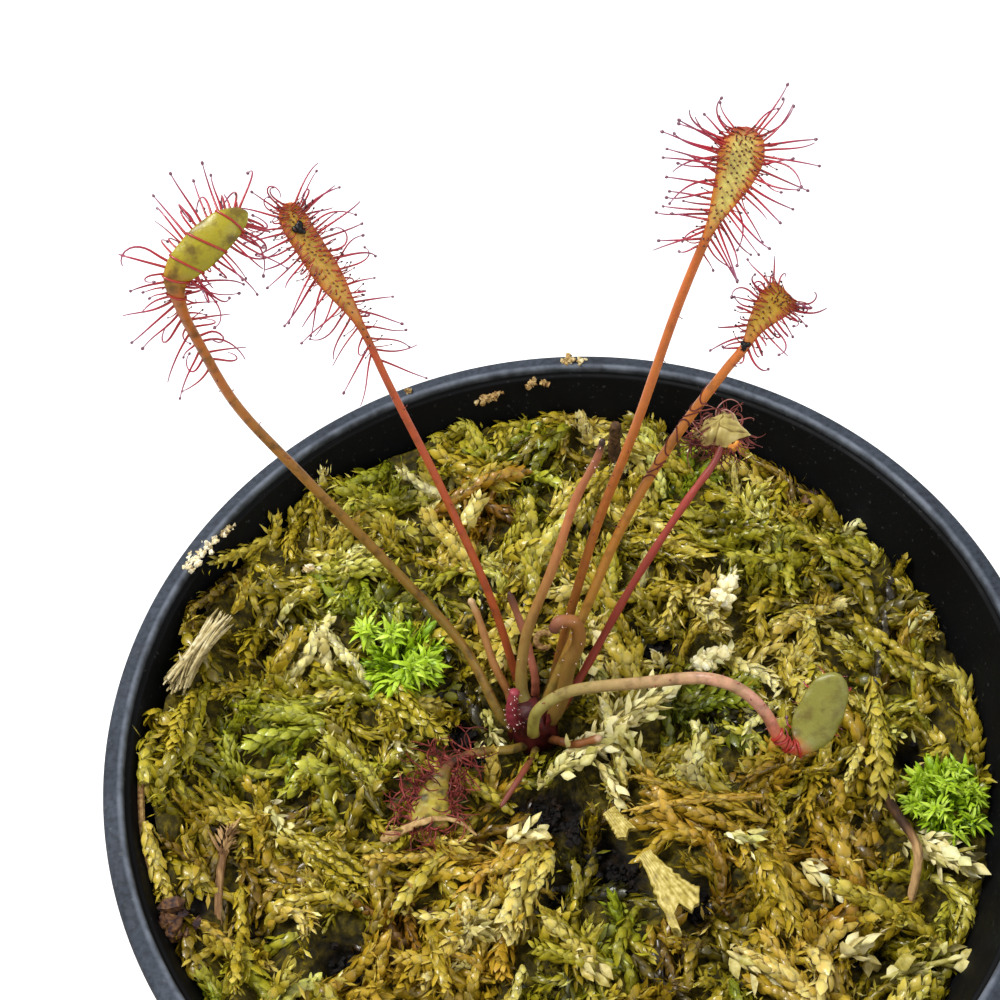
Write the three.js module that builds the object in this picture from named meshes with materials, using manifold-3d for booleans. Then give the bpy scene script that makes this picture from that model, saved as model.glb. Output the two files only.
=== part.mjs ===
// A sundew growing in a mossy nursery pot.
// Millimetres, +Z up. The origin is on the pot's axis, in the plane that the pot stands on.
import * as THREE from "three";
import { mergeVertices } from "three/addons/utils/BufferGeometryUtils.js";
import Module from "manifold-3d";

const wasm = await Module();
wasm.setup();

// ---- driving dimensions ----

const gap = 0.3; // running clearance between neighbouring pieces

const pot = {
  height: 70,
  rimRadius: 40,
  rimDepth: 9, // the thick band round the top
  rimSet: 1.7, // how far the band stands out from the wall
  lipWidth: 1.8, // flat top of the band
  footRadius: 27,
  wall: 1.2,
  floorTop: 3,
  footRaise: 1.5, // the floor's middle is off the ground
  footRing: 6,
  segments: 36,
};
const drain = { middleRadius: 3, outerRadius: 2.4, circle: 15, count: 8, segments: 10 };

const mixTop = 56; // growing mix below, moss above
const moss = {
  level: 61.2, // mean height of the moss
  rise: 0.045, // slope towards the back
  lean: 0.05, // slope towards the left
  edgeRadius: 36.4,
  edgeDrop: 0.2,
  edgeBand: 4,
  relief: 0.45,
  top: 68, // no moss reaches above this
  tussock: 2, // how far small tussocks stand out
  rings: 9,
  segments: 32,
  strands: 54,
  strandLength: 12,
  strandRadius: 1.9,
};

const crown = { x: -3.3, y: 3.2, radius: 2.5, top: 64.6, hollow: 5, dip: 1.1 };

// ---- colours ----

const colours = {
  plastic: { color: 0x1b1f26, roughness: 0.55, metalness: 0 },
  mix: { color: 0x2a1d14, roughness: 0.95, metalness: 0 },
  moss: { color: 0x8a7a2a, roughness: 0.6, metalness: 0 },
  greenMoss: { color: 0x6fbf2c, roughness: 0.6, metalness: 0 },
  dryMoss: { color: 0xd9d09a, roughness: 0.8, metalness: 0 },
  stalk: { color: 0xb86a3a, roughness: 0.5, metalness: 0 },
  greenStalk: { color: 0x8f8a38, roughness: 0.5, metalness: 0 },
  crimson: { color: 0x8c1f2b, roughness: 0.45, metalness: 0 },
  dead: { color: 0x5a3626, roughness: 0.85, metalness: 0 },
  twig: { color: 0x3a2c22, roughness: 0.9, metalness: 0 },
};

// ---- solids and meshes ----

const vector = (x, y, z) => new THREE.Vector3(x, y, z);
const turn = Math.PI * 2;

function randomFrom(seed) {
  let state = seed;
  return () => {
    state = (state + 0x6d2b79f5) | 0;
    let mixed = Math.imul(state ^ (state >>> 15), 1 | state);
    mixed = (mixed + Math.imul(mixed ^ (mixed >>> 7), 61 | mixed)) ^ mixed;
    return ((mixed ^ (mixed >>> 14)) >>> 0) / 4294967296;
  };
}

function solidOf(geometry) {
  const bare = geometry.clone();
  bare.deleteAttribute("normal");
  bare.deleteAttribute("uv");
  const merged = mergeVertices(bare, 1e-5);
  return new wasm.Manifold(
    new wasm.Mesh({
      numProp: 3,
      vertProperties: new Float32Array(merged.attributes.position.array),
      triVerts: new Uint32Array(merged.index.array),
    }),
  );
}

function geometryOf(solid) {
  const mesh = solid.getMesh();
  const geometry = new THREE.BufferGeometry();
  geometry.setAttribute("position", new THREE.BufferAttribute(mesh.vertProperties, 3));
  geometry.setIndex(new THREE.BufferAttribute(mesh.triVerts, 1));
  geometry.computeVertexNormals();
  return geometry;
}

const largestPiece = (solid) =>
  solid.decompose().reduce((best, piece) => (piece.volume() > best.volume() ? piece : best));

const fuse = (solids) => wasm.Manifold.union(solids);

const plant = new THREE.Group();

function addPiece(name, solid, colour, grain = 0.02) {
  const body = largestPiece(solid.simplify(grain));
  const mesh = new THREE.Mesh(geometryOf(body), new THREE.MeshStandardMaterial(colour));
  mesh.name = name;
  plant.add(mesh);
}

// A closed skin over rings of equal size. The far end is flat, or runs out to a point.
function loft(rings, point) {
  const sides = rings[0].length;
  const positions = rings.flat();
  const faces = [];
  for (let ring = 0; ring + 1 < rings.length; ring += 1) {
    for (let side = 0; side < sides; side += 1) {
      const a = ring * sides + side;
      const b = ring * sides + ((side + 1) % sides);
      faces.push(a, b, b + sides, a, b + sides, a + sides);
    }
  }
  const last = (rings.length - 1) * sides;
  for (let side = 1; side + 1 < sides; side += 1) {
    faces.push(0, side + 1, side);
  }
  if (point) {
    positions.push(point);
    for (let side = 0; side < sides; side += 1) {
      faces.push(last + side, last + ((side + 1) % sides), last + sides);
    }
  } else {
    for (let side = 1; side + 1 < sides; side += 1) {
      faces.push(last, last + side, last + side + 1);
    }
  }
  const geometry = new THREE.BufferGeometry().setFromPoints(positions);
  geometry.setIndex(faces);
  return solidOf(geometry);
}

// A rod along a curve. shape(t) gives the half width, the half depth and the way it faces.
// spin turns the section, so that a corner can point the way it faces.
function sweep(curve, steps, sides, shape, spin = 0) {
  const rings = [];
  for (let step = 0; step <= steps; step += 1) {
    const t = step / steps;
    const centre = curve.getPoint(t);
    const along = curve.getTangent(t);
    const { width, depth, face } = shape(t);
    const across = vector().crossVectors(along, face).normalize();
    const outward = vector().crossVectors(across, along).normalize();
    const ring = [];
    for (let side = 0; side < sides; side += 1) {
      const angle = (side / sides) * turn + spin;
      const point = centre.clone();
      point.addScaledVector(across, -Math.cos(angle) * width);
      point.addScaledVector(outward, Math.sin(angle) * depth);
      ring.push(point);
    }
    rings.push(ring);
  }
  return loft(rings);
}

const smooth = (from, to, value) => {
  const t = THREE.MathUtils.clamp((value - from) / (to - from), 0, 1);
  return t * t * (3 - 2 * t);
};

const curveOf = (points) =>
  new THREE.CatmullRomCurve3(points.map((point) => vector(...point)), false, "centripetal");

// The same curve, longer by a small reach at both ends.
function extended(curve, reach) {
  const points = curve.points.map((point) => point.clone());
  points[0].addScaledVector(curve.getTangent(0), -reach);
  points[points.length - 1].addScaledVector(curve.getTangent(1), reach);
  return new THREE.CatmullRomCurve3(points, false, "centripetal");
}

// A round rod that tapers evenly and faces up, or sideways where it stands.
function rod(points, steps, sides, startRadius, endRadius, grow = 0) {
  const up = vector(0.2, -0.5, 0.84);
  const curve = grow > 0 ? extended(curveOf(points), grow) : curveOf(points);
  return sweep(curve, steps, sides, (t) => {
    const radius = THREE.MathUtils.lerp(startRadius, endRadius, t) + grow;
    return { width: radius, depth: radius, face: up };
  });
}

// ---- pot ----

function potSolid() {
  const { rimRadius: rim, height, rimDepth, rimSet, lipWidth, footRadius: foot, wall } = pot;
  const underBand = height - rimDepth;
  const wallTop = rim - rimSet;
  const lip = rim - lipWidth;
  const profile = [
    [0, pot.footRaise],
    [foot - pot.footRing, pot.footRaise],
    [foot - pot.footRing + 0.8, 0],
    [foot - 0.8, 0],
    [foot, 0.8],
    [wallTop, underBand],
    [rim - 0.4, underBand],
    [rim, underBand + 0.6],
    [rim, height - 0.8],
    [rim - 0.4, height - 0.2],
    [rim - 1, height],
    [lip + 0.4, height],
    [lip, height - 0.4],
    [lip, height - 1],
    [lip - 0.4, height - 1.1],
    [foot - wall, pot.floorTop],
    [0, pot.floorTop],
  ];
  const points = profile.map(([radius, z]) => new THREE.Vector2(radius, z));
  const turned = new THREE.LatheGeometry(points, pot.segments).rotateX(Math.PI / 2);
  let solid = solidOf(turned);
  for (let hole = 0; hole <= drain.count; hole += 1) {
    const middle = hole === drain.count;
    const radius = middle ? drain.middleRadius : drain.outerRadius;
    const out = middle ? 0 : drain.circle;
    const angle = (hole / drain.count) * turn;
    const cutter = new THREE.CylinderGeometry(radius, radius, pot.floorTop * 3, drain.segments);
    cutter.rotateX(Math.PI / 2);
    cutter.translate(out * Math.cos(angle), out * Math.sin(angle), pot.floorTop);
    solid = solid.subtract(solidOf(cutter));
  }
  return solid;
}

// Radius of the pot's inner wall at a height.
function innerRadius(z) {
  const bottom = pot.footRadius - pot.wall;
  const top = pot.rimRadius - pot.lipWidth - 0.4;
  const share = (z - pot.floorTop) / (pot.height - 1.1 - pot.floorTop);
  return THREE.MathUtils.lerp(bottom, top, share);
}

function fillSolid(bottom, top) {
  const points = [
    [0, bottom],
    [innerRadius(bottom) - gap, bottom],
    [innerRadius(top) - gap, top],
    [0, top],
  ].map(([radius, z]) => new THREE.Vector2(radius, z));
  return solidOf(new THREE.LatheGeometry(points, pot.segments).rotateX(Math.PI / 2));
}

// ---- crown, roots and what holds the leaves ----

const crownAt = (x, y, z) => [crown.x + x, crown.y + y, z];

const roots = [
  [crownAt(0, 0, 60), crownAt(0.5, -0.5, 50), crownAt(2, 0, 40), crownAt(1, 2, 26)],
  [crownAt(0.8, 0.3, 59), crownAt(5, 2, 54.5), crownAt(10, 3, 48), crownAt(13, 7, 38)],
  [crownAt(-0.8, 0.4, 59), crownAt(-5, 3, 54), crownAt(-9, 4, 46), crownAt(-10, 9, 36)],
  [crownAt(0, -0.8, 59), crownAt(-1.5, -5, 54), crownAt(-4, -9, 47), crownAt(-3, -14, 39)],
];
const rootRod = (route, grow) => rod(route, 5, 4, 0.7, 0.4, grow);

function crownBlock(grow) {
  const { radius, top } = crown;
  const points = [
    [0, mixTop + 0.6 - grow],
    [radius * 0.7 + grow, mixTop + 0.6 - grow],
    [radius * 0.85 + grow, 59],
    [radius + grow, 61.5],
    [radius * 0.9 + grow, 63.2],
    [radius * 0.5 + grow * 0.7, top - 0.3 + grow],
    [0, top + grow],
  ].map(([across, z]) => new THREE.Vector2(across, z));
  const turned = new THREE.LatheGeometry(points, 12).rotateX(Math.PI / 2);
  return solidOf(turned.translate(crown.x, crown.y, 0));
}

// ---- leaves ----

// Each route runs from the crown to the tip. bladeFrom is the share of it where the blade begins.
// Along the blade, widen says between which shares it widens and tipFrom where its round tip
// begins. face is the way the sticky side looks.
const leaves = [
  {
    name: "leaf_far_left",
    route: [
      [-5.1, 2.9, 61.3], [-6.1, 3.6, 63], [-8.5, 8, 68], [-14.5, 12, 78.5], [-19.3, 13.7, 88.6],
      [-22.7, 14.8, 96.5], [-23.9, 15.5, 102.1], [-24.4, 15.8, 106.7], [-24.1, 16.3, 108.8],
      [-22.2, 17.1, 110.2], [-20.1, 18.3, 111.1], [-18.8, 19.4, 111],
    ],
    stalk: [0.5, 0.42], bladeFrom: 0.535, bladeWidth: 2.6, widen: [-0.12, 0.78], tipFrom: 0.72,
    face: [-0.3, 0.55, -0.75],
    tentacles: 22, reach: 4.3, seed: 11, colour: colours.stalk,
  },
  {
    name: "leaf_left",
    route: [
      [-3.8, 5.3, 61.2], [-4.2, 6.6, 63.2], [-5.5, 10, 71.5], [-8.5, 15, 82.5], [-11.5, 19, 92],
      [-13, 21.1, 97.1], [-14.5, 22.7, 100.3], [-15.8, 24.4, 102.5], [-16.8, 26, 104.2],
      [-17, 26.9, 105],
    ],
    stalk: [0.5, 0.4], bladeFrom: 0.5, bladeWidth: 2.2, widen: [0.05, 0.42], tipFrom: 0.74,
    face: [0.2, -0.6, 0.75],
    tentacles: 22, reach: 4, seed: 12, colour: colours.stalk,
  },
  {
    name: "leaf_tall",
    route: [
      [-2.2, 5, 60.8], [-1, 6.6, 63], [1, 8.8, 69.8], [4, 11.5, 79.5], [7.5, 13.5, 89.5],
      [11.1, 16.5, 99.5], [13.2, 17.7, 105], [14.3, 18.4, 107.3], [15.5, 19.6, 109.2],
      [16.1, 20.7, 110.5], [16.3, 21.9, 111.1],
    ],
    stalk: [0.52, 0.44], bladeFrom: 0.59, bladeWidth: 3.15, widen: [0.02, 0.68], tipFrom: 0.78,
    face: [-0.1, -0.6, 0.75],
    tentacles: 24, reach: 4.4, seed: 13, colour: colours.stalk,
  },
  {
    name: "leaf_right",
    route: [
      [-2.2, 4.2, 62.4], [-1.3, 5, 64.2], [1.8, 7.6, 70.5], [6, 11, 79.5], [10.5, 13, 88],
      [14.6, 14.1, 94.6], [16.1, 14.8, 96.2], [17, 15.6, 97.4], [18.1, 16.4, 98.2],
      [19, 17.1, 98.4], [19.7, 17.6, 98.4],
    ],
    stalk: [0.55, 0.47], bladeFrom: 0.58, bladeWidth: 2.45, widen: [0.05, 0.85], tipFrom: 0.9,
    face: [-0.25, -0.5, 0.8],
    tentacles: 18, reach: 3.2, seed: 14, colour: colours.stalk,
  },
  {
    name: "leaf_drooping",
    route: [
      [-3.2, 1.9, 62], [-3.4, 0.8, 64.5], [-2.8, 1.2, 67.5], [-0.5, 1.6, 69.4], [6, -1, 74.5],
      [11, -3, 77.5], [13.4, -4.1, 76.9], [15.1, -5.3, 75], [16.2, -6.5, 72.7], [17.5, -6.9, 71.4],
      [18.7, -6, 71.6], [19.9, -4.7, 72.8], [20.9, -3.4, 74.1], [21.6, -2.6, 75],
    ],
    stalk: [0.58, 0.53], bladeFrom: 0.62, bladeWidth: 4.1, widen: [0.3, 0.62], tipFrom: 0.6,
    face: [0.1, 0.6, -0.75],
    tentacles: 14, reach: 2.6, seed: 15, colour: colours.greenStalk,
  },
];

const bladeDepth = 0.42;
const tentacleLead = 0.02; // the first tentacles stand this share of the route before the blade

// Half width of a blade: it widens from its stalk and ends in a round tip.
function bladeHalf(leaf, share) {
  const widened = smooth(...leaf.widen, share);
  const half = THREE.MathUtils.lerp(leaf.stalk[1], leaf.bladeWidth / 2, widened);
  const tip = THREE.MathUtils.clamp((share - leaf.tipFrom) / (1 - leaf.tipFrom), 0, 0.97);
  return half * Math.sqrt(1 - tip * tip);
}

function leafShape(leaf, t, grow) {
  const share = (t - leaf.bladeFrom) / (1 - leaf.bladeFrom);
  const face = vector(...leaf.face);
  if (share <= 0) {
    const radius = THREE.MathUtils.lerp(...leaf.stalk, t / leaf.bladeFrom) + grow;
    return { width: radius, depth: radius, face };
  }
  const half = bladeHalf(leaf, share) + grow;
  return { width: half, depth: Math.min(half, bladeDepth + grow), face };
}

// A tentacle leaves its root along one way, bends towards another and ends in a bead.
function tentacle(root, leave, bend, length) {
  const radii = [0.25, 0.2, 0.16, 0.36];
  const places = [-0.04, 0.5, 0.88, 0.94];
  const centreAt = (place) => {
    const centre = root.clone().addScaledVector(leave, place * length);
    return centre.addScaledVector(bend, place * place * length * 0.45);
  };
  const rings = places.map((place, index) => {
    const centre = centreAt(place);
    const along = leave.clone().addScaledVector(bend, place * 0.9).normalize();
    const across = vector().crossVectors(along, vector(0.31, 0.17, 0.93)).normalize();
    const outward = vector().crossVectors(across, along);
    return [0, 1, 2].map((corner) => {
      const angle = (corner / 3) * turn;
      const point = centre.clone().addScaledVector(across, -Math.cos(angle) * radii[index]);
      return point.addScaledVector(outward, Math.sin(angle) * radii[index]);
    });
  });
  return loft(rings, centreAt(1.02));
}

// Tentacles stand along both edges and round the tip, swept forward towards the tip, and every
// fourth one is short and stands on the sticky face.
function leafTentacles(leaf, curve) {
  const random = randomFrom(leaf.seed);
  const face = vector(...leaf.face).normalize();
  const solids = [];
  for (let index = 0; index < leaf.tentacles; index += 1) {
    const share = 0.02 + 0.93 * (index / (leaf.tentacles - 1));
    const t = leaf.bladeFrom - tentacleLead + (1 + tentacleLead - leaf.bladeFrom) * share;
    const centre = curve.getPoint(t);
    const along = curve.getTangent(t);
    const across = vector().crossVectors(along, face).normalize();
    const upward = vector().crossVectors(across, along).normalize();
    const side = index % 2 ? 1 : -1;
    const onFace = index % 4 === 3;
    const half = leafShape(leaf, t, 0).width;
    const root = centre.clone().addScaledVector(across, side * half * (onFace ? 0.3 : 0.8));
    const forward = THREE.MathUtils.lerp(-0.45, 1.3, share * share) + (random() - 0.5) * 0.5;
    const lift = onFace ? 1.6 : THREE.MathUtils.lerp(-0.35, 0.9, random());
    const leave = across.clone().multiplyScalar(side).addScaledVector(along, forward);
    leave.addScaledVector(upward, lift).normalize();
    const bend = upward.clone().multiplyScalar(random() - 0.2);
    bend.addScaledVector(along, (random() - 0.5) * 0.8);
    const length = leaf.reach * (onFace ? 0.4 : 0.75 + 0.3 * random());
    solids.push(tentacle(root, leave, bend, length));
  }
  return solids;
}

function leafSolid(leaf) {
  const curve = curveOf(leaf.route);
  const blade = sweep(curve, 17, 6, (t) => leafShape(leaf, t, 0));
  return fuse([blade, ...leafTentacles(leaf, curve)]);
}

// Room round the foot of a leaf's stalk.
function footSpace(leaf) {
  return rod(leaf.route.slice(0, 3), 4, 5, leaf.stalk[0], leaf.stalk[0], gap * 1.2);
}

// Leafless stalks, a young leaf still hooked over, and the newest bud.
const stalks = [
  {
    name: "stalk_tall_bare",
    route: [
      [-3.6, 3.9, 63.2], [-3.9, 5.2, 65], [-3, 7.5, 69.5], [0, 10, 76.5], [2.5, 12.5, 82.5],
      [4.5, 13.5, 86.5], [5, 14, 88],
    ],
    radii: [0.65, 0.25], colour: colours.greenStalk,
  },
  {
    name: "stalk_short_left",
    route: [[-4.9, 4.3, 62], [-5.2, 5.6, 63.6], [-6.1, 7.1, 66], [-7, 10, 70], [-7.5, 11, 71.5]],
    radii: [0.45, 0.3], colour: colours.stalk,
  },
  {
    name: "stalk_short_behind",
    route: [[-2.8, 5.3, 62.3], [-2.6, 6.3, 64], [-3, 8.8, 67], [-4, 11.5, 71]],
    radii: [0.4, 0.35], colour: colours.stalk,
  },
  {
    name: "stalk_cut",
    route: [[-1.9, 1.5, 61.3], [-1.2, 0.6, 62.6], [0, -0.2, 63.2], [2.5, -0.5, 64.5]],
    radii: [0.45, 0.4], colour: colours.dead,
  },
  {
    name: "stalk_dead_front",
    route: [[-3.3, 1.2, 60.6], [-3.6, 0, 61.6], [-5, -2.5, 62.8], [-7, -5, 62.6]],
    radii: [0.4, 0.25], colour: colours.dead,
  },
  {
    name: "young_leaf_hooked",
    route: [
      [-1.7, 2.6, 62.8], [-0.6, 3.2, 65], [0.5, 4.6, 69], [1.5, 5.4, 71.6], [1.2, 6, 73.6],
      [0, 6, 74], [-0.7, 5.8, 72.9],
    ],
    radii: [0.75, 0.6], colour: colours.stalk,
  },
  {
    name: "bud_red",
    route: [[-4.5, 2.5, 63.3], [-5, 2, 64.6], [-5, 2.6, 66.1], [-4.5, 3.3, 68]],
    radii: [0.6, 0.35], colour: colours.crimson,
  },
];

const stalkSolid = (stalk, grow = 0) => rod(stalk.route, 10, 6, ...stalk.radii, grow);

// The dried leaf: its blade has shrunk to a crumpled cone that hangs open round its stalk.
const driedLeaf = {
  name: "leaf_dried",
  route: [
    [-1.6, 3.4, 60.8], [0, 4.6, 62.4], [2.4, 6.6, 65.4], [7, 10.5, 71.5], [12.5, 14.5, 78],
    [15, 16.5, 80], [16.5, 19, 81],
  ],
  stalk: [0.5, 0.4],
  cone: { length: 5.5, radius: 3, folds: 5 },
  tentacles: 12,
  reach: 3,
  seed: 21,
};

function driedLeafSolid() {
  const { route, stalk, cone, tentacles, reach, seed } = driedLeaf;
  const random = randomFrom(seed);
  const tip = vector(...route[route.length - 1]);
  const along = vector(0.55, 0.75, 0.2).normalize();
  const across = vector().crossVectors(along, vector(0, 0, 1)).normalize();
  const upward = vector().crossVectors(across, along);
  const apex = tip.clone().addScaledVector(along, -cone.length * 0.65);
  const outline = [0.3, 0.75, 1, 0.85, 0.35];
  const sides = cone.folds * 2;
  const rings = outline.map((share, step) => {
    const centre = apex.clone().addScaledVector(along, (step / 4) * cone.length);
    return Array.from({ length: sides }, (_, side) => {
      const angle = (side / sides) * turn;
      const fold = side % 2 ? 1 : 0.72;
      const point = centre.clone();
      point.addScaledVector(across, -Math.cos(angle) * cone.radius * share * fold);
      return point.addScaledVector(upward, Math.sin(angle) * cone.radius * share * fold * 0.8);
    });
  });
  const solids = [rod(route, 12, 6, ...stalk), loft(rings)];
  for (let index = 0; index < tentacles; index += 1) {
    const angle = index * 2.4;
    const place = 0.15 + 0.6 * random();
    const outward = across.clone().multiplyScalar(Math.cos(angle));
    outward.addScaledVector(upward, Math.sin(angle));
    const root = apex.clone().addScaledVector(along, place * cone.length);
    root.addScaledVector(outward, cone.radius * 0.5);
    const leave = outward.clone().addScaledVector(along, random() - 0.5).normalize();
    const bend = vector(random() - 0.5, random() - 0.5, random() - 0.7);
    solids.push(tentacle(root, leave, bend, reach * (0.7 + 0.3 * random())));
  }
  return fuse(solids);
}

// The dead leaf lies on the moss: a short stalk and a tangle of shrivelled tentacles.
const deadLeaf = {
  name: "leaf_dead_front",
  route: [
    [-4.3, 1.2, 61.2], [-5.6, 0.5, 62.3], [-9, -0.3, 64], [-11, -1.6, 64.8], [-12.5, -4, 64.4],
    [-13.5, -6.6, 63.8],
  ],
  radii: [0.4, 1.3],
  tentacles: 13,
  reach: 4.4,
  seed: 31,
};

function deadLeafSolid() {
  const { route, radii, tentacles, reach, seed } = deadLeaf;
  const random = randomFrom(seed);
  const curve = curveOf(route);
  const solids = [
    sweep(curve, 12, 6, (t) => {
      const width = THREE.MathUtils.lerp(...radii, smooth(0.5, 0.75, t)) * (t > 0.99 ? 0.4 : 1);
      return { width, depth: Math.min(width, 0.5), face: vector(0, 0, 1) };
    }),
  ];
  for (let index = 0; index < tentacles; index += 1) {
    const root = curve.getPoint(0.55 + 0.43 * (index / tentacles));
    const heading = index * 2.4 + random() * 0.6;
    const leave = vector(Math.cos(heading), Math.sin(heading), 0.25 + 0.9 * random()).normalize();
    const bend = vector(random() - 0.5, random() - 0.5, -0.5 - 0.3 * random());
    solids.push(tentacle(root, leave, bend, reach * (0.6 + 0.4 * random())));
  }
  return fuse(solids);
}

// ---- moss ----

// Height of the ground under the moss's strands: a gentle slope, low swells, a hollow round the
// crown and a fall towards the wall.
function groundHeight(x, y) {
  const radius = Math.hypot(x, y);
  const slope = moss.rise * y - moss.lean * x;
  const swell = Math.sin(x * 0.33 + 1.1) * Math.cos(y * 0.29 - 0.4) + 0.6 * Math.sin((x - y) * 0.51);
  const edge = smooth(moss.edgeRadius - moss.edgeBand, moss.edgeRadius, radius) * moss.edgeDrop;
  const fromCrown = Math.hypot(x - crown.x, y - crown.y);
  const hollow = (1 - smooth(crown.radius, crown.hollow, fromCrown)) * crown.dip;
  return moss.level + slope + swell * moss.relief - edge - hollow;
}

function groundSolid() {
  const rings = [];
  const random = randomFrom(3);
  const ringAt = (radius, height) =>
    Array.from({ length: moss.segments }, (_, index) => {
      const angle = (index / moss.segments) * turn;
      const x = radius * Math.cos(angle);
      const y = radius * Math.sin(angle);
      return vector(x, y, height ?? groundHeight(x, y) + (random() - 0.6) * moss.tussock);
    });
  rings.push(ringAt(moss.edgeRadius * 0.6, mixTop));
  rings.push(ringAt(moss.edgeRadius - 0.6, mixTop));
  rings.push(ringAt(moss.edgeRadius, mixTop + 0.8));
  for (let ring = moss.rings; ring > 0; ring -= 1) {
    rings.push(ringAt((moss.edgeRadius * ring) / moss.rings));
  }
  return loft(rings);
}

// A moss strand is a plump spindle whose tiers of leaves flare, like a long narrow cone.
function strand(centre, heading, pitch, length, radius, grow = 0) {
  const along = vector(
    Math.cos(heading) * Math.cos(pitch),
    Math.sin(heading) * Math.cos(pitch),
    Math.sin(pitch),
  );
  const start = centre.clone().addScaledVector(along, -length / 2 - grow);
  const end = centre.clone().addScaledVector(along, length / 2 + grow);
  const sag = centre.clone().add(vector(0, 0, radius * 0.5));
  const curve = new THREE.QuadraticBezierCurve3(start, sag, end);
  const flare = [0.4, 1, 0.68, 1, 0.66, 0.12];
  const section = (t) => {
    const half = radius * flare[Math.round(t * (flare.length - 1))] + grow * 1.6;
    return { width: half * 1.15, depth: half * 0.95, face: vector(0, 0, 1) };
  };
  return sweep(curve, flare.length - 1, 3, section, Math.PI / 2);
}

// Strands spread by the sunflower rule, each with a heading of its own.
function carpetStrands() {
  const random = randomFrom(5);
  const solids = [];
  const goldenAngle = Math.PI * (3 - Math.sqrt(5));
  for (let index = 0; index < moss.strands; index += 1) {
    const spread = Math.sqrt((index + 0.5) / moss.strands);
    const out = spread * (moss.edgeRadius - 1.8);
    const angle = index * goldenAngle;
    const x = out * Math.cos(angle) + (random() - 0.5) * 1.6;
    const y = out * Math.sin(angle) + (random() - 0.5) * 1.6;
    const atEdge = spread > 0.88;
    const heading = atEdge ? angle + Math.PI / 2 + (random() - 0.5) * 0.9 : random() * turn;
    const length = moss.strandLength * (0.7 + 0.5 * random());
    const radius = moss.strandRadius * (0.8 + 0.45 * random());
    const pitch = (random() - 0.35) * 0.5;
    const fromCrown = Math.hypot(x - crown.x, y - crown.y);
    if (fromCrown > crown.hollow) {
      const centre = vector(x, y, groundHeight(x, y) + radius * 0.25);
      solids.push(strand(centre, heading, pitch, length, radius));
    }
  }
  return solids;
}

// Dry cream strands and dead bits that lie on the carpet, each in a groove of its own.
const looseStrands = [
  { name: "cream_strand_back", at: [16.4, 13.9], heading: 0.9, pitch: 0.5, length: 5, radius: 1.5 },
  { name: "cream_strand_middle", at: [13.7, 7.2], heading: 0.2, pitch: 0.2, length: 4.5, radius: 1.3 },
  { name: "cream_strand_crown", at: [4.6, 1.4], heading: 0.5, pitch: 0.2, length: 9, radius: 1.4 },
  { name: "cream_strand_front", at: [4.8, -11.2], heading: -1.1, pitch: 0.05, length: 11, radius: 1.4 },
  { name: "cream_strand_right", at: [29.2, -12.8], heading: -0.75, pitch: 0.3, length: 5.2, radius: 1.1 },
  { name: "cream_strand_wall", at: [-32.6, 11.3], heading: 0.87, pitch: 0.05, length: 7.5, radius: 1.2 },
];

function looseStrand(item, grow) {
  const [x, y] = item.at;
  const centre = vector(x, y, groundHeight(x, y) + item.radius * 0.9);
  return strand(centre, item.heading, item.pitch, item.length, item.radius, grow);
}

// Twigs, as rods that lie or stand in the moss.
const twigs = [
  {
    name: "twig_left",
    route: [[-30.2, -2.6, 61.6], [-30.8, -6, 63.8], [-31.2, -11, 64], [-30.9, -17.2, 62.4]],
    radii: [0.65, 0.35],
  },
  {
    name: "twig_right",
    route: [[26.5, -5.4, 58.8], [26.6, -9.2, 61.4], [27.3, -13.2, 62.2], [26, -16.8, 60.4]],
    radii: [0.5, 0.28],
  },
  {
    name: "twig_back",
    route: [[8.6, 29.6, 61.4], [8.2, 30.2, 65.5], [8.4, 30.4, 69.4]],
    radii: [0.75, 0.5],
  },
];

const twigSolid = (twig, grow) => rod(twig.route, 6, 5, ...twig.radii, grow);

// A tuft of bright green moss: a low mound with pointed leaves standing out of it all round.
const tufts = [
  { name: "green_moss_left", at: [-14.6, 10.6], radius: 4.2, leaves: 17, seed: 41 },
  { name: "green_moss_right", at: [31.4, -8.3], radius: 3.6, leaves: 15, seed: 42 },
];

function tuftMound(tuft, grow) {
  const [x, y] = tuft.at;
  const mound = new THREE.SphereGeometry(1, 10, 6).rotateX(Math.PI / 2);
  const across = tuft.radius * 0.8 + grow;
  mound.scale(across, across, 1.6 + grow);
  return solidOf(mound.translate(x, y, groundHeight(x, y) + 0.7));
}

// Room for the mound and, above it, a widening space for its leaves.
function tuftSpace(tuft) {
  const [x, y] = tuft.at;
  const tall = 5;
  const space = new THREE.CylinderGeometry(tuft.radius + 3, tuft.radius * 0.8 + gap, tall, 10);
  space.rotateX(Math.PI / 2);
  space.translate(x, y, groundHeight(x, y) + 0.7 + tall / 2);
  return fuse([tuftMound(tuft, gap), solidOf(space)]);
}

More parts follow.
